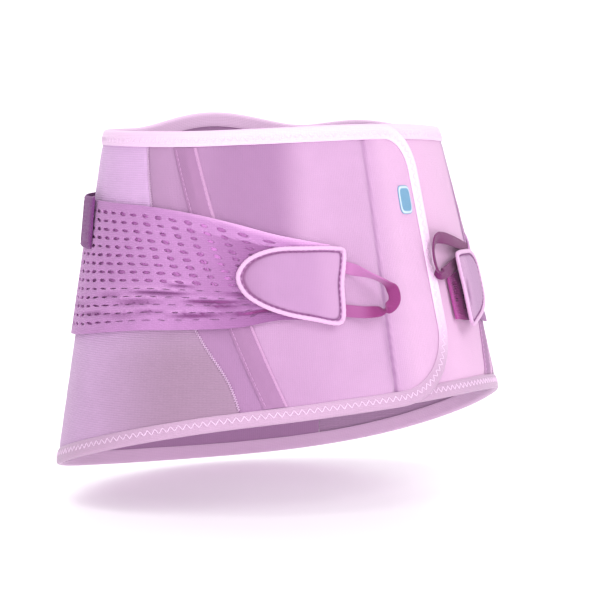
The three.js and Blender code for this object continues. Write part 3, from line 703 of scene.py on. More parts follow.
def cloth_panel(name, node, slot, start, end, thickness, seams, material, flap=False, tint=None):
    """One panel between two lines of turn for each share of the height. seams says which ends are sewn."""
    wide = float(np.max([end(s) - start(s) for s in (0, 0.5, 1)]) * per_degree(0, HEM_LEVEL))
    columns = np.linspace(0, 1, int(wide / CELL))
    if flap:
        columns = 1 - (1 - columns) ** 1.15
    rows = np.linspace(0, 1, 88)
    s, r = np.meshgrid(columns, rows, indexing="ij")
    share = r
    for _ in range(5):
        turn = lerp(start(share), end(share), s)
        low = hem_edge(turn) + BINDING_REACH
        high = top_edge(turn) - BINDING_REACH
        away = flap_away(turn) if flap else np.full(turn.shape, 1e3)
        cut_low, cut_high = corner_cut(FLAP_HEM_CORNER, away), corner_cut(FLAP_TOP_CORNER, away)
        z = lerp(low + cut_low, high - cut_high, r)
        share = (z - hem_edge(turn)) / (top_edge(turn) - hem_edge(turn))
    rate = per_degree(turn, z)
    to_edge = np.minimum(z - low, high - z)
    if flap:
        for radius, gap in ((FLAP_HEM_CORNER, z - low), (FLAP_TOP_CORNER, high - z)):
            bend = radius - np.hypot(radius - np.minimum(away, radius), radius - np.minimum(gap, radius))
            to_edge = np.minimum(to_edge, np.where((away < radius) & (gap < radius), bend, away))
    if not seams[0]:
        to_edge = np.minimum(to_edge, (turn - start(share)) * rate)
    pinch = EDGE_PINCH * (1 - smooth((to_edge - TAPE_COVER - CLEAR) / PINCH_BLEND))
    dip = 0.0 * z
    for sewn, line in zip(seams, (start, end)):
        if sewn:
            dip = dip + SEAM_DEPTH * bell((turn - line(share)) * rate / SEAM_WIDTH)
    hollow = dip
    if flap:
        beside = (turn - (360 - CREASE_ANGLE)) * rate
        line = CREASE_DEPTH * bell(beside / CREASE_WIDTH) * lerp(0.55, 1, smooth(1 - share))
        dip = dip + line - 0.7 * bell((beside - 11) / 10) * smooth(to_edge / 20)
    grain = 0.12 * np.sin(turn * 2.1 + z * 0.13) * np.sin(z * 0.21 - turn * 0.9)
    fade = smooth((to_edge - TAPE_COVER) / 12)
    outer = surface(turn, z, -pinch - dip + grain * fade)
    inner = surface(turn, z, -thickness + pinch + 0.5 * hollow)
    shade = np.zeros(z.shape) if tint is None else tint(turn, z, share)
    cloth = np.stack([turn * per_degree(45, 0), z, shade], -1)
    # The panels' inner side is tinted darker: painted shade inside the belt.
    piece = shell(name, outer, inner, cloth, material, inner_painted_shade=0.7)
    stands_for(piece, slot, node)
    declare(np.stack([turn, z], -1))
    return piece


def under_strap(turn, z):
    """How much a place lies under a strap, from nought to one: where the painted bounce colour goes."""
    aside = aside_of(turn)
    angle = np.abs(aside)
    edges = [
        np.where(aside > 0, strap_height("left", angle, key), strap_height("right", angle, key))
        for key in ("bottom", "top")
    ]
    inside = np.minimum(z - edges[0], edges[1] - z)
    ends = smooth((angle - 23) / 5) * smooth((STRAP_ROWS[-1]["angle"] - 1 - angle) / 2)
    return smooth((inside - 1) / 4) * ends


def panel_shade(turn, z, share):
    """Painted shade and painted light on the panels. Painted shade: mauve between the gusset seam and just
    in front of the stay channel, a dark line in the flap's crease with a soft dark beside it, and darker low
    on the right
    front. Painted light: in front of the crease and on the panel under the flap. Under the straps: painted
    bounce light."""
    aside = aside_of(turn)
    angle = np.abs(aside)
    # Painted shade: the mauve zone from the gusset seam forward, less towards the rear top.
    channel_front = lerp(CHANNEL_HEM_ANGLE, CHANNEL_TOP_ANGLE, share) - 2.9
    edge = np.where(aside > 0, 49, lerp(channel_front, 31, smooth((share - 0.36) / 0.2)))
    mauve_shade = smooth((angle - edge) / lerp(2.5, 12, smooth(share * 1.3 - 0.2)) + 0.5)
    mauve_shade = mauve_shade * (1 - 0.55 * smooth((angle - 46) / 24) * share)
    # Painted shade along the flap's crease, stronger low down, with a soft painted shade beside it lower on.
    ahead = (aside + CREASE_ANGLE) * per_degree(turn, z)
    line = bell(ahead / 2.3) * lerp(0.85, 1.6, smooth((0.55 - share) / 0.25))
    fold_shade = 0.6 * bell((ahead + 3) / 5) * bell((share - 0.22) / 0.2)
    # Painted light ahead of the crease and on the left front; painted shade low on the right front.
    light = 0.36 * smooth((aside + 7) / 9) + 0.19 * smooth((aside - 8) / 12)
    low_right_shade = 0.42 * smooth((-aside - 12) / 22) * smooth(1 - share / 0.7)
    dark = np.minimum(np.maximum(np.maximum(mauve_shade, line), np.maximum(fold_shade, low_right_shade)), 1)
    shade = dark - light * (1 - dark)
    # Under the straps, the painted bounce colour seen through their holes.
    return lerp(shade, UNDER_STRAP_PAINTED_BOUNCE, under_strap(turn, z))


def gusset_shade(turn, z, share):
    # Darker towards the hem and towards the front seam; under the straps, the painted bounce colour seen
    # through their holes.
    angle = np.abs(aside_of(turn))
    shade = smooth((0.62 - share) / 0.4) * lerp(1, 0.3, smooth((angle - 62) / 38))
    return lerp(shade, UNDER_STRAP_PAINTED_BOUNCE, under_strap(turn, z))


def back_shade(turn, z, share):
    # Darker towards the hem; under the straps, the painted bounce colour seen through their holes.
    return lerp(0.15 * smooth((0.5 - share) / 0.5), UNDER_STRAP_PAINTED_BOUNCE, under_strap(turn, z))


panels = [
    cloth_panel(
        "front_panel_right_cloth", "front_panel_right", "panel_fabric",
        lambda up: 360 - front_seam(up) + SEAM_GAP,
        lambda up: np.full(np.shape(up), FLAP_TURN - BINDING_REACH / FLAP_RATE),
        PANEL, (True, False), CLOTH["panel"], flap=True, tint=panel_shade,
    ),
    cloth_panel(
        "front_panel_left_cloth", "front_panel_left", "panel_fabric",
        lambda up: np.full(np.shape(up), INNER_TURN), lambda up: front_seam(up) - SEAM_GAP,
        PANEL, (False, True), CLOTH["panel"], tint=panel_shade,
    ),
    cloth_panel(
        "side_gusset_left_cloth", "side_gusset_left", "gusset_elastic",
        lambda up: front_seam(up) + SEAM_GAP, lambda up: rear_seam(up) - SEAM_GAP,
        GUSSET, (True, True), CLOTH["gusset"], tint=gusset_shade,
    ),
    cloth_panel(
        "side_gusset_right_cloth", "side_gusset_right", "gusset_elastic",
        lambda up: 360 - rear_seam(up) + SEAM_GAP, lambda up: 360 - front_seam(up) - SEAM_GAP,
        GUSSET, (True, True), CLOTH["gusset"], tint=gusset_shade,
    ),
    cloth_panel(
        "back_panel_cloth", "back_panel", "panel_fabric",
        lambda up: rear_seam(up) + SEAM_GAP, lambda up: 360 - rear_seam(up) - SEAM_GAP,
        PANEL, (True, True), CLOTH["panel"], tint=back_shade,
    ),
]


# Folded edge tapes and their zigzag stitches
def tape_profile():
    """The outside and inside lines of the folded tape, as (across, out) from the cloth's edge."""
    middle = (BINDING_OUT + BINDING_IN) / 2
    half = (BINDING_OUT - BINDING_IN) / 2
    legs = np.linspace(TAPE_COVER, 1.5, 8)
    bend = np.radians(np.linspace(90, -90, 13))
    outside, inside = [], []
    for across in legs:
        crown = 0.22 * np.sin(np.pi * (across - 1) / (TAPE_COVER - 1))
        droop = 0.5 * (1 - rounded(TAPE_COVER - across, 0.8))
        outside.append((across, BINDING_OUT + crown - droop))
        inside.append((across, BINDING_OUT - TAPE))
    for angle in bend:
        outside.append((1.5 - (1.5 + BINDING_REACH) * np.cos(angle), middle + half * np.sin(angle)))
        inside.append((1.5 - (1.5 + CLEAR) * np.cos(angle), middle + (half - TAPE) * np.sin(angle)))
    for across in legs[::-1]:
        droop = 0.5 * (1 - rounded(TAPE_COVER - across, 0.8))
        outside.append((across, BINDING_IN + droop))
        inside.append((across, BINDING_IN + TAPE))
    return np.array(outside), np.array(inside)


def tape(name, nodes, places, along):
    outside, inside = tape_profile()
    inward = inward_of(places)
    pucker = 0.5 + 0.5 * np.cos(2 * np.pi * along / ZIGZAG_PITCH)
    wander = 0.25 * np.sin(along / 17) + 0.15 * np.sin(along / 7.3)

    def skin(profile, lumps):
        across, out = profile[:, 0][None, :], profile[:, 1][None, :]
        near_stitch = np.exp(-(((across - 5) / 2.2) ** 2)) * (out > -1)
        level = out - lumps * 0.34 * pucker[:, None] * near_stitch
        shift = across + 0.3 * wander[:, None] * (across > 4)
        return surface(*moved(places, inward, shift), level)

    outer, inner = skin(outside, 1), skin(inside, 0)
    width = lengths(outside)
    cloth = np.zeros(outer.shape)
    cloth[..., 0] = along[:, None]
    cloth[..., 1] = width[None, :]
    # Painted light: the tape lighter up the belt, most on the flap's upright run, and on its inner leg
    # inside the belt; the hem run keeps the darker base.
    low, high = hem_edge(places[:, 0]) + 10, top_edge(places[:, 0])
    pale = 0.75 + 0.25 * bell((places[:, 0] - FLAP_TURN) * FLAP_RATE / 40)
    inside = smooth((-PANEL / 2 - outside[:, 1]) / 0.5)
    cloth[..., 2] = -(pale * smooth((places[:, 1] - low) / (0.4 * (high - low))))[:, None]
    cloth[..., 2] = np.minimum(cloth[..., 2], -0.45 * inside[None, :])
    piece = shell(name, outer, inner, cloth, CLOTH["tape"])
    stands_for(piece, "binding_tape", *nodes)
    leg = places[:, None] + inward[:, None] * np.array([0, TAPE_COVER])[None, :, None]
    declare(leg, folded=TAPE_COVER + 2 * BINDING_REACH + PANEL)


def flap_corner(radius, edge, up):
    """Places round a corner of the flap, towards its upright end. up is 1 at the hem and -1 at the top."""
    away = radius * (1 - np.sin(np.linspace(0, np.pi / 2, 24)))
    turn = FLAP_TURN - (away + BINDING_REACH) / FLAP_RATE
    return list(zip(turn, edge(turn) + up * (BINDING_REACH + corner_cut(radius, away))))


def edge_path():
    """Round the belt's edge: along the hem, round the flap and back along the top."""
    hem_start = FLAP_TURN - (FLAP_HEM_CORNER + BINDING_REACH) / FLAP_RATE
    top_start = FLAP_TURN - (FLAP_TOP_CORNER + BINDING_REACH) / FLAP_RATE
    points = [(t, hem_edge(t) + BINDING_REACH) for t in np.linspace(-INNER_END, hem_start - 1, 260)]
    points += flap_corner(FLAP_HEM_CORNER, hem_edge, 1)
    end = FLAP_TURN - BINDING_REACH / FLAP_RATE
    low, high = points[-1][1], top_edge(end) - BINDING_REACH - FLAP_TOP_CORNER
    points += [(end, z) for z in np.linspace(low, high, 60)[1:-1]]
    points += flap_corner(FLAP_TOP_CORNER, top_edge, -1)[::-1]
    points += [(t, top_edge(t) - BINDING_REACH) for t in np.linspace(top_start - 1, -INNER_END, 260)]
    return points


def inner_end_path():
    far = INNER_TURN + TAPE_COVER / FLAP_RATE
    clear = BINDING_REACH + TAPE_COVER + 2 * CLEAR
    high = min(top_edge(INNER_TURN), top_edge(far)) - clear
    low = max(hem_edge(INNER_TURN), hem_edge(far)) + clear
    return [(INNER_TURN, z) for z in np.linspace(high, low, 40)]


def zigzag(name, points, centre, reach, out, material, pitch=ZIGZAG_PITCH):
    """One zigzag thread across a tape or seam."""
    places, along = spaced(points, pitch / 8)
    phase = np.abs(np.mod(along / pitch, 1) - 0.5) * 4 - 1
    rise = out + 0.12 * (1 - phase ** 4)
    laid_thread(name, places, centre + reach * phase, rise, material, THREAD * 1.25)


def tapes():
    for name, nodes, points in (
        ("edge_tape", ("hem_binding", "flap_binding", "top_binding"), edge_path()),
        ("inner_end_tape", ("inner_end_binding",), inner_end_path()),
    ):
        places, along = spaced(points, 1.35)
        tape(name, nodes, places, along)
        zigzag(name + "_zigzag", points, 5, 1.7, BINDING_OUT + 0.02, CLOTH["light_thread"])


tapes()


def seam_zigzags():
    inset_by = BINDING_REACH + TAPE_COVER + 1
    for side in ("left", "right"):
        for label, seam in (("front", front_seam), ("rear", rear_seam)):
            points = []
            for up in np.linspace(0, 1, 60):
                turn = turned(side, float(seam(up)))
                low, high = hem_edge(turn), top_edge(turn)
                z = float(lerp(low + inset_by, high - inset_by, up))
                points.append((turned(side, float(seam(float((z - low) / (high - low))))), z))
            zigzag("seam_" + label + "_" + side, points, 0, 0.9, -0.2, CLOTH["seam_thread"], 1.7)


seam_zigzags()


# Stay channels: a soft raised hump between two sunk stitch lines, with a painted highlight near the front
# edge
def channel_place(side, up, across):
    middle = lerp(CHANNEL_HEM_ANGLE, CHANNEL_TOP_ANGLE, up)
    turn = turned(side, middle)
    level = lerp(hem_edge(turn), top_edge(turn), up)
    angle = middle - across * CHANNEL_WIDTH / per_degree(middle, level)
    at = turned(side, angle)
    inset = BINDING_REACH + TAPE_COVER + 2 * CLEAR
    return at, lerp(hem_edge(at) + inset, top_edge(at) - inset, up)


def stay_channel(side):
    up, across = np.meshgrid(np.linspace(0, 1, 110), np.linspace(-0.5, 0.5, 27), indexing="ij")
    turn, z = channel_place(side, up, across)
    from_edge = (0.5 - np.abs(across)) * CHANNEL_WIDTH
    height = CHANNEL_THICKNESS * (0.55 + 0.75 * bell(across / 0.36)) * rounded(from_edge, 0.8)
    height = height - 0.35 * bell((from_edge - STITCH_INSET) / 1.1)
    ends = smooth(np.minimum(up, 1 - up) / 0.03)
    height = np.maximum(height * ends, 0.12) + 0.1 * np.sin(up * 63 + across * 3) * bell(across / 0.4)
    # Painted highlight: a lighter line near the channel's front edge. Under the straps, the painted bounce
    # colour.
    front_edge_highlight = 0.9 * bell((across - 0.43) / 0.09)
    shade = lerp(-front_edge_highlight, UNDER_STRAP_PAINTED_BOUNCE, under_strap(turn, z))
    cloth = np.stack([across * CHANNEL_WIDTH, z, shade], -1)
    outer, inner = surface(turn, z, CHANNEL_IN + height), surface(turn, z, CHANNEL_IN - 0.3)
    piece = shell("stay_channel_" + side + "_tape", outer, inner, cloth, CLOTH["channel"])
    stands_for(piece, "channel_fabric", "stay_channel_" + side)
    declare(np.stack([turn, z], -1))
    beside = 0.5 - STITCH_INSET / CHANNEL_WIDTH
    steps = np.linspace(0.01, 0.99, 560)
    for label, line in (("front", beside), ("rear", -beside)):
        at, level = channel_place(side, steps, np.full(steps.shape, line))
        places = np.stack([at, level], -1)
        stitch = CHANNEL_IN + 0.2 + 0.3 * np.sin(level * 2 * np.pi / 3.2)
        name = "channel_stitch_" + label + "_" + side
        laid_thread(name, places, 0, stitch, CLOTH["matching_thread"])


for side in SIDES:
    stay_channel(side)


# Pull straps of pierced elastic
# Long flat creases in the strap's lower part: where along it, how high, how long, how deep and their slope
STRAP_CREASES = table(
    "along up length depth slope",
    (0.395, 0.285, 0.11, 1.9, 0.06),
    (0.455, 0.2, 0.1, 1.9, 0),
    (0.265, 0.215, 0.085, 2, 0),
    (0.24, 0.165, 0.05, 1.4, 0.05),
    (0.3, 0.085, 0.09, 2, -0.05),
    (0.16, 0.075, 0.09, 1.9, 0.25),
    (0.34, 0.36, 0.05, 1.1, 0.1),
    (0.19, 0.3, 0.06, 1.3, 0.1),
    (0.55, 0.27, 0.07, 1.0, 0),
    (0.62, 0.12, 0.09, 0.9, 0),
    (0.5, 0.09, 0.09, 1.0, 0.04),
    (0.42, 0.12, 0.06, 1.1, 0),
    (0.72, 0.2, 0.09, 0.7, 0),
    (0.1, 0.2, 0.05, 1.2, 0.2),
)


def strap_relief(along, up):
    """How far creases in the lower part move the strap's face out."""
    out = 0.0 * along
    for crease in STRAP_CREASES:
        beside = (up - crease["up"] - crease["slope"] * (along - crease["along"])) / CREASE_HALF_HEIGHT
        line = bell((along - crease["along"]) / crease["length"])
        out = out - crease["depth"] * line * np.exp(-beside * beside)
        out = out + 0.5 * crease["depth"] * line * np.exp(-((beside - 1.9) ** 2))
    return out


def strap_points(side, column, row):
    """Place of a lattice point: columns from the tab to the back, rows from the bottom up."""
    conf = SIDES[side]
    front = conf["tab_edge"] + conf["tuck"] / float(per_degree(conf["tab_edge"], 0))
    rear = STRAP_ROWS[-1]["angle"]
    share = column / MESH_COLUMNS
    plateau = smooth(share / 0.2) * smooth((1 - share) / 0.2)
    share = share + MESH_LEAN / MESH_COLUMNS * (row / MESH_ROWS - 0.5) * plateau
    angle = lerp(front, rear, share)
    low = strap_height(side, angle, "bottom") + STRAP_SELVAGE
    high = strap_height(side, angle, "top") - STRAP_SELVAGE
    z = lerp(low, high, row / MESH_ROWS)
    z = np.where(row < 0, low - STRAP_SELVAGE * np.clip(-row, 0, 1), z)
    z = np.where(row > MESH_ROWS, high + STRAP_SELVAGE * np.clip(row - MESH_ROWS, 0, 1), z)
    return angle, z, share, row / MESH_ROWS


def strap_cells():
    """Rings of lattice points round each hole: the cell's border, two lips and the hole's own edge."""
    corners = [(-0.5, -0.5), (-0.17, -0.5), (0.17, -0.5), (0.5, -0.5), (0.5, -0.17), (0.5, 0.17)]
    border = np.array(corners + [(-a, -b) for a, b in corners])
    angle = np.arctan2(border[:, 1], border[:, 0])
    hole = np.stack([np.cos(angle), np.sign(np.sin(angle)) * np.abs(np.sin(angle)) ** 1.3], -1)
    return border, hole


def pull_strap(side):
    mirror = SIDES[side]["mirror"]
    border, hole = strap_cells()
    vertices, cloth, faces, index = [], [], [], {}
    rng = np.random.default_rng(7 if mirror else 11)

    def vertex(column, row, layer, key=None):
        """layer is 0 on the outer face and 1 on the inner, in between on a hole's wall."""
        key = key or (round(column * 100), round(row * 100), layer)
        if key in index:
            return index[key]
        angle, z, along, up = strap_points(side, np.array(float(column)), np.array(float(row)))
        relief = strap_relief(along, up)
        edge = min(row + 1, MESH_ROWS + 1 - row)
        hem = 0.25 * np.exp(-((edge - 0.5) / 0.35) ** 2)
        outer = STRAP_OUT + relief + hem
        inner = STRAP_IN + min(float(relief), 0) * 0.5 + 0.3
        turn = turned(side, angle)
        # Painted shade in the creases' hollows and painted highlight on their crests, and painted shade
        # growing towards the tab.
        tint = np.clip(-relief * 0.9, -0.25, 1) + 0.75 * smooth((0.4 - along) / 0.3) * (up < 0.9)
        # Lighter along the top edge towards the front.
        tint = tint - 0.9 * smooth((edge - 0.2) / -0.3 + 1) * (up > 0.5) * smooth((0.45 - along) / 0.3)
        # Painted light on the hole walls and the inner face, so the holes look less dark.
        tint = lerp(tint, -0.35, layer)
        if not mirror:
            tint = lerp(tint, 2, smooth((0.07 - along) / 0.03))
        index[key] = len(vertices)
        vertices.append(surface(turn, z, lerp(outer, inner, layer)))
        cloth.append((float(angle) * WEAVE_RATE, float(z), float(np.clip(tint, -1, 2))))
        return index[key]

    def quad(*corners):
        faces.append(corners[::-1] if mirror else corners)

    for i in range(MESH_COLUMNS):
        for j in range(-1, MESH_ROWS + 1):
            centre = np.array([i + 0.5, j + 0.5])
            rim = [centre + p for p in border]
            outer = [vertex(*p, 0) for p in rim]
            inner = [vertex(*p, 1) for p in rim]
            count = len(rim)
            if j in (-1, MESH_ROWS):
                quad(*outer)
                quad(*inner[::-1])
                continue
            along, up = (i + 0.5) / MESH_COLUMNS, (j + 0.5) / MESH_ROWS
            calm = smooth((up - 0.3) / 0.1) * lerp(0.85, 1.15, smooth(1 - abs(along - 0.28) / 0.4))
            calm = max(calm, 0.2 + 0.6 * smooth((along - 0.45) / 0.35))
            size = calm * (1 + 0.16 * rng.standard_normal())
            stretch = lerp(0.7, 1, smooth(calm * 2)) * lerp(1.05, 1.7, smooth((along - 0.2) / 0.45))
            wide = np.clip(MESH_SLOT / MESH_CELL * stretch * rng.uniform(0.85, 1.15), 0.16, 0.86) / 2
            tall = np.clip(MESH_SLOT_HEIGHT / MESH_CELL_HEIGHT * size, 0.1, 0.62) / 2
            tilt = 0.12 * rng.standard_normal()
            rings = [outer]
            for grow, layer in ((1.3, 0.02), (1.1, 0.14), (1.0, 0.4), (1.0, 0.85)):
                around = [
                    centre + (h[0] * wide * grow, h[1] * tall * grow + tilt * h[0] * wide) for h in hole
                ]
                rings.append([vertex(*p, layer, (i, j, k, grow, layer)) for k, p in enumerate(around)])
            rings.append(inner)
            for near, far in zip(rings[:-1], rings[1:]):
                for k in range(count):
                    n = (k + 1) % count
                    quad(near[k], near[n], far[n], far[k])

    def edge_wall(p, q, flip):
        """The strip between the two faces along an edge, from lattice point p to q."""
        ends = [vertex(*p, 0), vertex(*q, 0), vertex(*q, 1), vertex(*p, 1)]
        quad(*(ends[::-1] if flip else ends))

    thirds = ((0, 0.33), (0.33, 0.67), (0.67, 1))
    for i in range(MESH_COLUMNS):
        for a, b in thirds:
            for row, flip in ((-1, False), (MESH_ROWS + 1, True)):
                edge_wall((i + b, row), (i + a, row), flip)
    for j in range(-1, MESH_ROWS + 1):
        for a, b in thirds:
            for column, flip in ((0, False), (MESH_COLUMNS, True)):
                edge_wall((column, j + a), (column, j + b), flip)
    piece = mesh_piece("pull_strap_" + side + "_mesh", vertices, faces, CLOTH["strap"], cloth, 70)
    stands_for(piece, "strap_mesh", "pull_strap_" + side)
    columns, rows = np.meshgrid(np.arange(MESH_COLUMNS + 1.0), np.arange(-1, MESH_ROWS + 2.0), indexing="ij")
    angle, z, _, _ = strap_points(side, columns, rows)
    declare(np.stack([angle, z], -1))


for side in SIDES:
    pull_strap(side)


# Hand tabs, their cords and the dark stitches beside the cord
def spline(points, count, closed):
    """A smooth curve through points, centripetal, with count places at even steps."""
    points = np.asarray(points, float)
    if closed:
        points = np.concatenate([points[-1:], points, points[:2]])
    else:
        points = np.concatenate([2 * points[:1] - points[1:2], points, 2 * points[-1:] - points[-2:-1]])
    pieces = []
    for p0, p1, p2, p3 in zip(points[:-3], points[1:-2], points[2:-1], points[3:]):
        gaps = [max(np.linalg.norm(b - a), 1e-6) ** 0.5 for a, b in ((p0, p1), (p1, p2), (p2, p3))]
        t0, t1 = 0, gaps[0]
        t2, t3 = t1 + gaps[1], t1 + gaps[1] + gaps[2]
        t = np.linspace(t1, t2, 24, endpoint=False)[:, None]
        a1 = (t1 - t) / (t1 - t0) * p0 + (t - t0) / (t1 - t0) * p1
        a2 = (t2 - t) / (t2 - t1) * p1 + (t - t1) / (t2 - t1) * p2
        a3 = (t3 - t) / (t3 - t2) * p2 + (t - t2) / (t3 - t2) * p3
        b1 = (t2 - t) / (t2 - t0) * a1 + (t - t0) / (t2 - t0) * a2
        b2 = (t3 - t) / (t3 - t1) * a2 + (t - t1) / (t3 - t1) * a3
        pieces.append((t2 - t) / (t2 - t1) * b1 + (t - t1) / (t2 - t1) * b2)
    fine = np.concatenate(pieces + [points[-2:-1]])
    along = lengths(fine)
    at = np.linspace(0, along[-1], count + 1)
    places = np.stack([np.interp(at, along, fine[:, k]) for k in range(fine.shape[1])], -1)
    return places[:-1] if closed else places


def tab_outline(side, count):
    """The tab's outline on the belt, in turn and height, running so that its inside is on the left."""
    conf = SIDES[side]
    shape = spline([(row["along"], row["up"]) for row in TAB_OUTLINE], count, True)
    tilt = math.radians(conf["tab_tilt"])
    x, y = shape[:, 0] * TAB_LENGTH, shape[:, 1] * TAB_HEIGHT
    back = x * math.cos(tilt) + y * math.sin(tilt)
    z = conf["tab_up"] + y * math.cos(tilt) - x * math.sin(tilt)
    middle = conf["tab_edge"] + back / 2 / per_degree(conf["tab_edge"], z)
    angle = conf["tab_edge"] + back / per_degree(middle, z)
    places = np.stack([turned(side, angle), z], -1)
    return places if conf["mirror"] else places[::-1]


def tab_back(side, turn, z):
    """How far back from the tab's straight edge a place lies."""
    conf = SIDES[side]
    tilt = math.radians(conf["tab_tilt"])
    angle = turned(side, turn)
    back = (angle - conf["tab_edge"]) * per_degree(conf["tab_edge"], z)
    return back * math.cos(tilt) - (z - conf["tab_up"]) * math.sin(tilt)


def tab_rise(side, turn, z):
    """How far the tab is lifted at a place: most at its straight edge, fading towards its nose."""
    along = tab_back(side, turn, z)
    return SIDES[side]["tab_lift"] * (1 - np.clip(along / TAB_LIFT_RUN, -0.1, 1)) ** 2


def inset(places, distance):
    return places + inward_of(places, True) * distance


def tab_face(side):
    outline = tab_outline(side, 120)
    edge = inset(outline, TAB_RIM * 0.72)
    middle = edge.mean(axis=0)
    shares = 1 - np.linspace(0, 1, 15) ** 1.35
    shares[-1] = 0.04
    reach = TAB_HEIGHT / 2 - TAB_RIM
    outer, inner, cloth = [], [], []
    for share in shares:
        places = middle + (edge - middle) * share
        depth = (1 - share) * reach
        crown = 0.75 * smooth(depth / 9) - 0.75 * bell((depth - 1.7) / 1.5)
        quiver = 0.1 * np.sin(places[:, 0] * 1.9 + places[:, 1] * 0.24)
        # Darker in the groove inside the cord: painted shade there, with the dark of the stitching.
        groove_shade = 0.85 * bell((depth - 1.7) / 1.3)
        rise = TAB_IN + tab_rise(side, places[:, 0], places[:, 1])
        top = rise + TAB_THICKNESS - 0.35 + crown + quiver * (share < 0.9)
        outer.append(surface(places[:, 0], places[:, 1], top))
        inner.append(surface(places[:, 0], places[:, 1], rise + 0.1))
        back = tab_back(side, places[:, 0], places[:, 1])
        up = places[:, 1] - SIDES[side]["tab_up"]
        # On the left tab, a slit pressed into the pad and painted darker, as shade.
        shaded_slit = SIDES[side]["shaded_slit"] * bell((back - 7) / 3.4) * bell((up + 3) / 15)
        outer[-1] -= outward(places[:, 0], places[:, 1]) * (1.9 * shaded_slit)[:, None]
        # Painted light towards the straight edge, and a little painted shade towards the nose.
        pale = 0.45 * smooth((24 - back) / 20) - 0.15 * smooth((back - 44) / 16)
        shade = np.clip(np.maximum(groove_shade, 1.3 * shaded_slit) - pale * (groove_shade < 0.3) * (shaded_slit < 0.2), -1, 1)
        cloth.append(np.stack([places[:, 0] * WEAVE_RATE, places[:, 1], shade], -1))
    order = [np.array(rows).transpose(1, 0, 2) for rows in (outer, inner, cloth)]
    piece = shell("hand_tab_" + side + "_pad", *order, CLOTH["tab"], closed=True)
    stands_for(piece, "tab_fabric", "hand_tab_" + side)


def tab_cord(side):
    places, along = spaced(tab_outline(side, 160), 1.1, True)
    inward = inward_of(places, True)
    angle = np.arange(14) * 2 * np.pi / 14
    top = TAB_IN + TAB_THICKNESS + TAB_RIM_PROUD
    twist = 0.1 * np.sin(2 * np.pi * along / 3.4)[:, None]
    across = TAB_RIM / 2 + (TAB_RIM / 2 + twist) * np.cos(angle)[None, :]
    out = (TAB_IN + top) / 2 + ((top - TAB_IN) / 2 + twist) * np.sin(angle)[None, :]
    turn, z = moved(places, inward, across)
    points = surface(turn, z, out + tab_rise(side, turn, z))
    n, m = points.shape[:2]
    at = np.arange(n * m).reshape(n, m)
    at = np.concatenate([at, at[:1]])
    at = np.concatenate([at, at[:, :1]], 1)
    faces = quads(at)[:, ::-1].tolist()
    cloth = np.stack([np.repeat(along, m), np.tile(angle * TAB_RIM / 2, n), np.zeros(n * m)], -1)
    piece = mesh_piece("tab_cord_" + side, points.reshape(-1, 3), faces, CLOTH["cord"], cloth, 80)
    stands_for(piece, "tab_piping", "tab_binding_" + side)


def tab_stitches(side):
    places, along = spaced(inset(tab_outline(side, 160), TAB_RIM + 0.7), 0.7, True)
    rise = TAB_IN + tab_rise(side, places[:, 0], places[:, 1]) + TAB_THICKNESS - 0.85
    rise = rise + 0.45 * np.sin(2 * np.pi * along / 4.1)
    laid_thread("tab_stitch_" + side, places, 0, rise, CLOTH["dark_thread"], 0.36, closed=True)


# Finger loops of narrow webbing
def finger_loop(side):
    conf = SIDES[side]
    rows = conf["loop"]
    edge = conf["tab_edge"]

    def turn_at(ahead, z):
        return turned(side, edge - ahead * LOOP_REACH / per_degree(edge, z))

    ahead, up, out = (np.array([row[key] for row in rows], float) for key in ("ahead", "up", "out"))
    z = conf["tab_up"] + up * LOOP_HEIGHT
    level = TAB_IN - LAYER_GAP - LOOP_THICKNESS / 2 + out * LOOP_STAND
    bends = surface(turn_at(ahead, z), z, level)
    steps = 130
    numbered = [dict(row, at=k) for k, row in enumerate(rows)]
    middle = spline(bends, steps, False)
    along = lengths(bends)
    shares = np.interp(np.linspace(0, along[-1], steps + 1), along, np.arange(len(rows)))
    tangent = unit(np.gradient(middle, axis=0))
    lean, swing = (np.radians(read(numbered, "at", shares, key)) for key in ("lean", "swing"))
    here = turn_at(read(numbered, "at", shares, "ahead"), 0)
    away = outward(here, middle[:, 2])
    forwards = 1 if conf["mirror"] else -1
    forward = np.stack([-away[:, 1], away[:, 0], 0 * away[:, 0]], -1) * forwards
    up_the_belt = unit(surface(here, middle[:, 2] + 1, 0) - surface(here, middle[:, 2], 0))
    width = up_the_belt * np.cos(lean)[:, None]
    width = width + forward * (np.sin(lean) * np.cos(swing))[:, None]
    width = width + away * (np.sin(lean) * np.sin(swing))[:, None]
    width = unit(width - tangent * (width * tangent).sum(1, keepdims=True))
    thick = np.cross(tangent, width)
    across = np.linspace(-0.5, 0.5, 11)
    plump = 0.5 * LOOP_THICKNESS * (0.45 + 0.55 * rounded((0.5 - np.abs(across)) * LOOP_WEBBING, 0.9))
    plump = plump - 0.12 * bell((np.abs(across) - 0.3) / 0.1)
    spread = middle[:, None] + width[:, None] * (across * LOOP_WEBBING)[None, :, None]
    lift = thick[:, None] * plump[None, :, None]
    run = lengths(middle)
    cloth = np.zeros(spread.shape)
    cloth[..., 0] = run[:, None]
    cloth[..., 1] = across[None, :] * LOOP_WEBBING
    share = run / run[-1]
    # Painted light on the right loop's upper arm and at the end of its run; the left loop is painted darker
    # all along, as shade.
    pale = 0.75 * smooth((0.46 - share) / 0.14) + 0.3 * smooth((share - 0.72) / 0.12)
    cloth[..., 2] = (-pale if conf["mirror"] else 0.7 + 0 * pale)[:, None]
    piece = shell("finger_loop_" + side + "_webbing", spread + lift, spread - lift, cloth, CLOTH["webbing"])
    stands_for(piece, "loop_webbing", "finger_loop_" + side)


for side in SIDES:
    tab_face(side)
    tab_cord(side)
    tab_stitches(side)
    finger_loop(side)


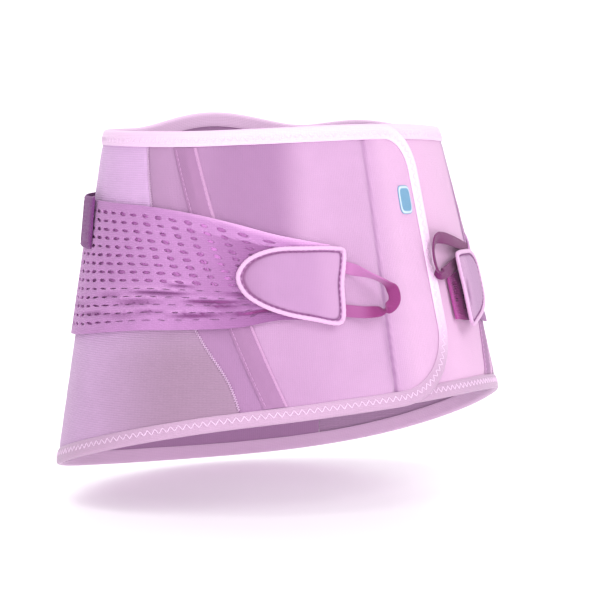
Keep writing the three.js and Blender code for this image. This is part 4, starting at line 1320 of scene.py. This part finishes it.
# Back band of dark webbing, with a crossed box of stitches at each end
def back_band():
    front = BAND_FRONT_ANGLE + BAND_TURN_UNDER
    turns = np.linspace(front, 360 - front, 190)
    up = np.linspace(0, 1, 25)
    turn, share = np.meshgrid(turns, up, indexing="ij")
    edge = np.minimum(share, 1 - share) * BAND_HEIGHT
    z = BAND_LOW + BAND_HEIGHT * share + 0.5 * np.sin(np.radians(turn * 4)) * (share - 0.5)
    level = BAND_IN + BAND_TOP_STAND * share
    plump = BAND_THICKNESS * (0.4 + 0.6 * rounded(edge, 1.2)) - 0.2 * bell((edge - 3) / 0.8)
    ends = np.minimum(turn - front, 360 - front - turn) * WEAVE_RATE
    plump = plump * (0.6 + 0.4 * rounded(ends, 1.2))
    cloth = np.stack([turn * WEAVE_RATE, z, 0 * z], -1)
    outer, inner = surface(turn, z, level + plump), surface(turn, z, level)
    piece = shell("back_band_webbing", outer, inner, cloth, CLOTH["band"])
    stands_for(piece, "dark_webbing", "back_band")
    declare(np.stack([turn, z], -1))
    for label, start, step in (("left", front + 1.6, 1), ("right", 360 - front - 1.6, -1)):
        far = start + step * 10
        low, high = BAND_LOW + 4, BAND_LOW + BAND_HEIGHT - 4
        box = [(start, low), (far, low), (far, high), (start, high), (start, low)]
        cross = [(far, high), (far, low), (start, high)]
        places, along = spaced(box + cross, 0.7)
        share = (places[:, 1] - BAND_LOW) / BAND_HEIGHT
        rise = BAND_IN + BAND_TOP_STAND * share + BAND_THICKNESS - 0.12
        rise = rise + 0.3 * np.sin(2 * np.pi * along / 3.6)
        path = surface(places[:, 0], places[:, 1], rise)
        normal = outward(places[:, 0], places[:, 1])
        side = unit(np.cross(np.gradient(path, axis=0), normal))
        thread = tube("band_stitch_" + label, path, side * THREAD, normal * THREAD, CLOTH["dark_thread"])


back_band()


# Plain tag beside the flap's tape, and the hook patch behind the flap
def plain_tag():
    rate = float(per_degree(FLAP_END, TAG_UP))
    tape_at = FLAP_TURN - BINDING_REACH / FLAP_RATE - TAPE_COVER / rate
    middle = tape_at - (TAG_MARGIN + TAG_WIDTH / 2) / rate
    angle = np.linspace(0, 2 * np.pi, 64, endpoint=False)
    shares = 1 - np.linspace(0, 0.96, 9)
    power = 0.45
    across = np.sign(np.cos(angle)) * np.abs(np.cos(angle)) ** power * TAG_WIDTH / 2
    up = np.sign(np.sin(angle)) * np.abs(np.sin(angle)) ** power * TAG_HEIGHT / 2
    a, s = np.meshgrid(across, shares, indexing="ij")
    b, _ = np.meshgrid(up, shares, indexing="ij")
    turn, z = middle + a * s / rate, TAG_UP + b * s
    height = CLEAR + TAG_THICKNESS * (0.35 + 0.65 * rounded((1 - s) * TAG_WIDTH / 2, 0.8))
    border = bell((s - 0.86) / 0.09)
    cloth = np.stack([a * s, z, border], -1)
    outer, inner = surface(turn, z, height), surface(turn, z, 0.1)
    piece = shell("plain_tag_patch", outer, inner, cloth, CLOTH["tag"], closed=True)
    stands_for(piece, "tag_print", "plain_tag")


plain_tag()


def closure_patch():
    """The hook patch between the flap and the panel under it, with rows of small hooks as knobs."""
    first = -INNER_END + PATCH_INSET / FLAP_RATE
    last = FLAP_END - PATCH_INSET / FLAP_RATE
    turn, z = np.meshgrid(
        np.linspace(first, last, 90), np.linspace(-PATCH_HALF_HEIGHT, PATCH_HALF_HEIGHT, 120), indexing="ij",
    )
    edge = np.minimum(np.minimum(turn - first, last - turn) * FLAP_RATE, PATCH_HALF_HEIGHT - np.abs(z))
    knobs = 0.22 * np.sin(turn * FLAP_RATE * 2.2) * np.sin(z * 2.2) * smooth(edge / 3)
    height = CLEAR + (FLAP_LIFT - PANEL - LAYER_GAP - CLEAR - 0.2) * rounded(edge, 1) + knobs
    cloth = np.stack([turn * FLAP_RATE, z, 0 * z], -1)
    outer, inner = surface(turn, z, np.maximum(height, CLEAR + 0.2)), surface(turn, z, CLEAR)
    piece = shell("closure_patch_hooks", outer, inner, cloth, CLOTH["hook"])
    stands_for(piece, "hook_tape", "closure_patch")
    declare(np.stack([turn, z], -1))


closure_patch()


# Floor, backdrop, light and camera
FLOOR = HEM_LOWEST - 3.5


def backdrop():
    """A pale floor that turns up smoothly far behind the belt."""
    angle = math.radians(CAMERA_TURN)
    ahead = np.array([math.sin(-angle), math.cos(-angle)])
    aside = np.array([ahead[1], -ahead[0]])
    profile = [(FLOOR_NEAR, 0), (0, 0), (FLOOR_FAR, 0)]
    for t in np.linspace(0.1, math.pi / 2, 14):
        profile.append((FLOOR_FAR + FLOOR_BEND * math.sin(t), FLOOR_BEND * (1 - math.cos(t))))
    profile.append((FLOOR_FAR + FLOOR_BEND, BACKDROP_TOP))
    vertices = []
    for run, rise in profile:
        for side in (-BACKDROP_HALF_WIDTH, BACKDROP_HALF_WIDTH):
            xy = ahead * run + aside * side
            vertices.append((xy[0] * MM, xy[1] * MM, (FLOOR + rise) * MM))
    faces = [(2 * k, 2 * k + 1, 2 * k + 3, 2 * k + 2) for k in range(len(profile) - 1)]
    mesh = bpy.data.meshes.new("backdrop")
    mesh.from_pydata(vertices, [], faces)
    mesh.polygons.foreach_set("use_smooth", [True] * len(faces))
    material, tree, shader = node_tree("pale_floor")
    put(tree, shader, {
        "Base Color": (0.96, 0.95, 0.965, 1), "Roughness": 0.26, "Specular IOR Level": 0.6,
        "Emission Color": (1, 0.93, 1, 1), "Emission Strength": 0.2,
    })
    mesh.materials.append(material)
    floor = bpy.data.objects.new("backdrop", mesh)
    bpy.context.scene.collection.objects.link(floor)


def area_light(name, place, aim, size, power, colour=(1, 1, 1)):
    light = bpy.data.lights.new(name, "AREA")
    light.shape = "RECTANGLE"
    light.size, light.size_y = size
    light.energy = power
    light.color = colour
    lamp = bpy.data.objects.new(name, light)
    lamp.location = place
    lamp.rotation_euler = (Vector(aim) - Vector(place)).to_track_quat("-Z", "Y").to_euler()
    bpy.context.scene.collection.objects.link(lamp)


def lights():
    area_light("key_light", (0.35, -1.7, 1.3), (0, 0, 0), (1.2, 1.2), 18.2)
    area_light("left_fill", (-1.9, -0.6, 0.7), (0, 0, 0), (1.4, 1.4), 8)
    area_light("top_light", (0.1, 0.1, 1.9), (0, 0, 0), (1.8, 1.8), 16)
    area_light("back_light", (0.4, 1.9, 0.9), (0, 0, 0), (1.6, 1.0), 10)
    area_light("low_light", (-0.75, -1.15, 0.0), (0, 0.1, -0.12), (0.9, 0.22), 6.5, (1, 0.94, 1))
    world = bpy.data.worlds.new("studio")
    world.use_nodes = True
    put(world.node_tree, world.node_tree.nodes["Background"], {"Color": (1, 1, 1, 1), "Strength": 0.55})
    bpy.context.scene.world = world


def camera():
    """The photograph's view, worked out from the belt's edges in it."""
    data = bpy.data.cameras.new("camera")
    data.sensor_width = 36
    data.lens = 173.6
    data.shift_x = 0.0121
    data.clip_end = 30
    view = bpy.data.objects.new("camera", data)
    view.location = (-1.3403, -1.4910, 0.1326)
    view.rotation_euler = (math.radians(90 + CAMERA_TILT), 0, math.radians(CAMERA_TURN))
    bpy.context.scene.collection.objects.link(view)
    bpy.context.scene.camera = view


backdrop()
lights()
camera()
bpy.context.scene.view_settings.view_transform = "Standard"
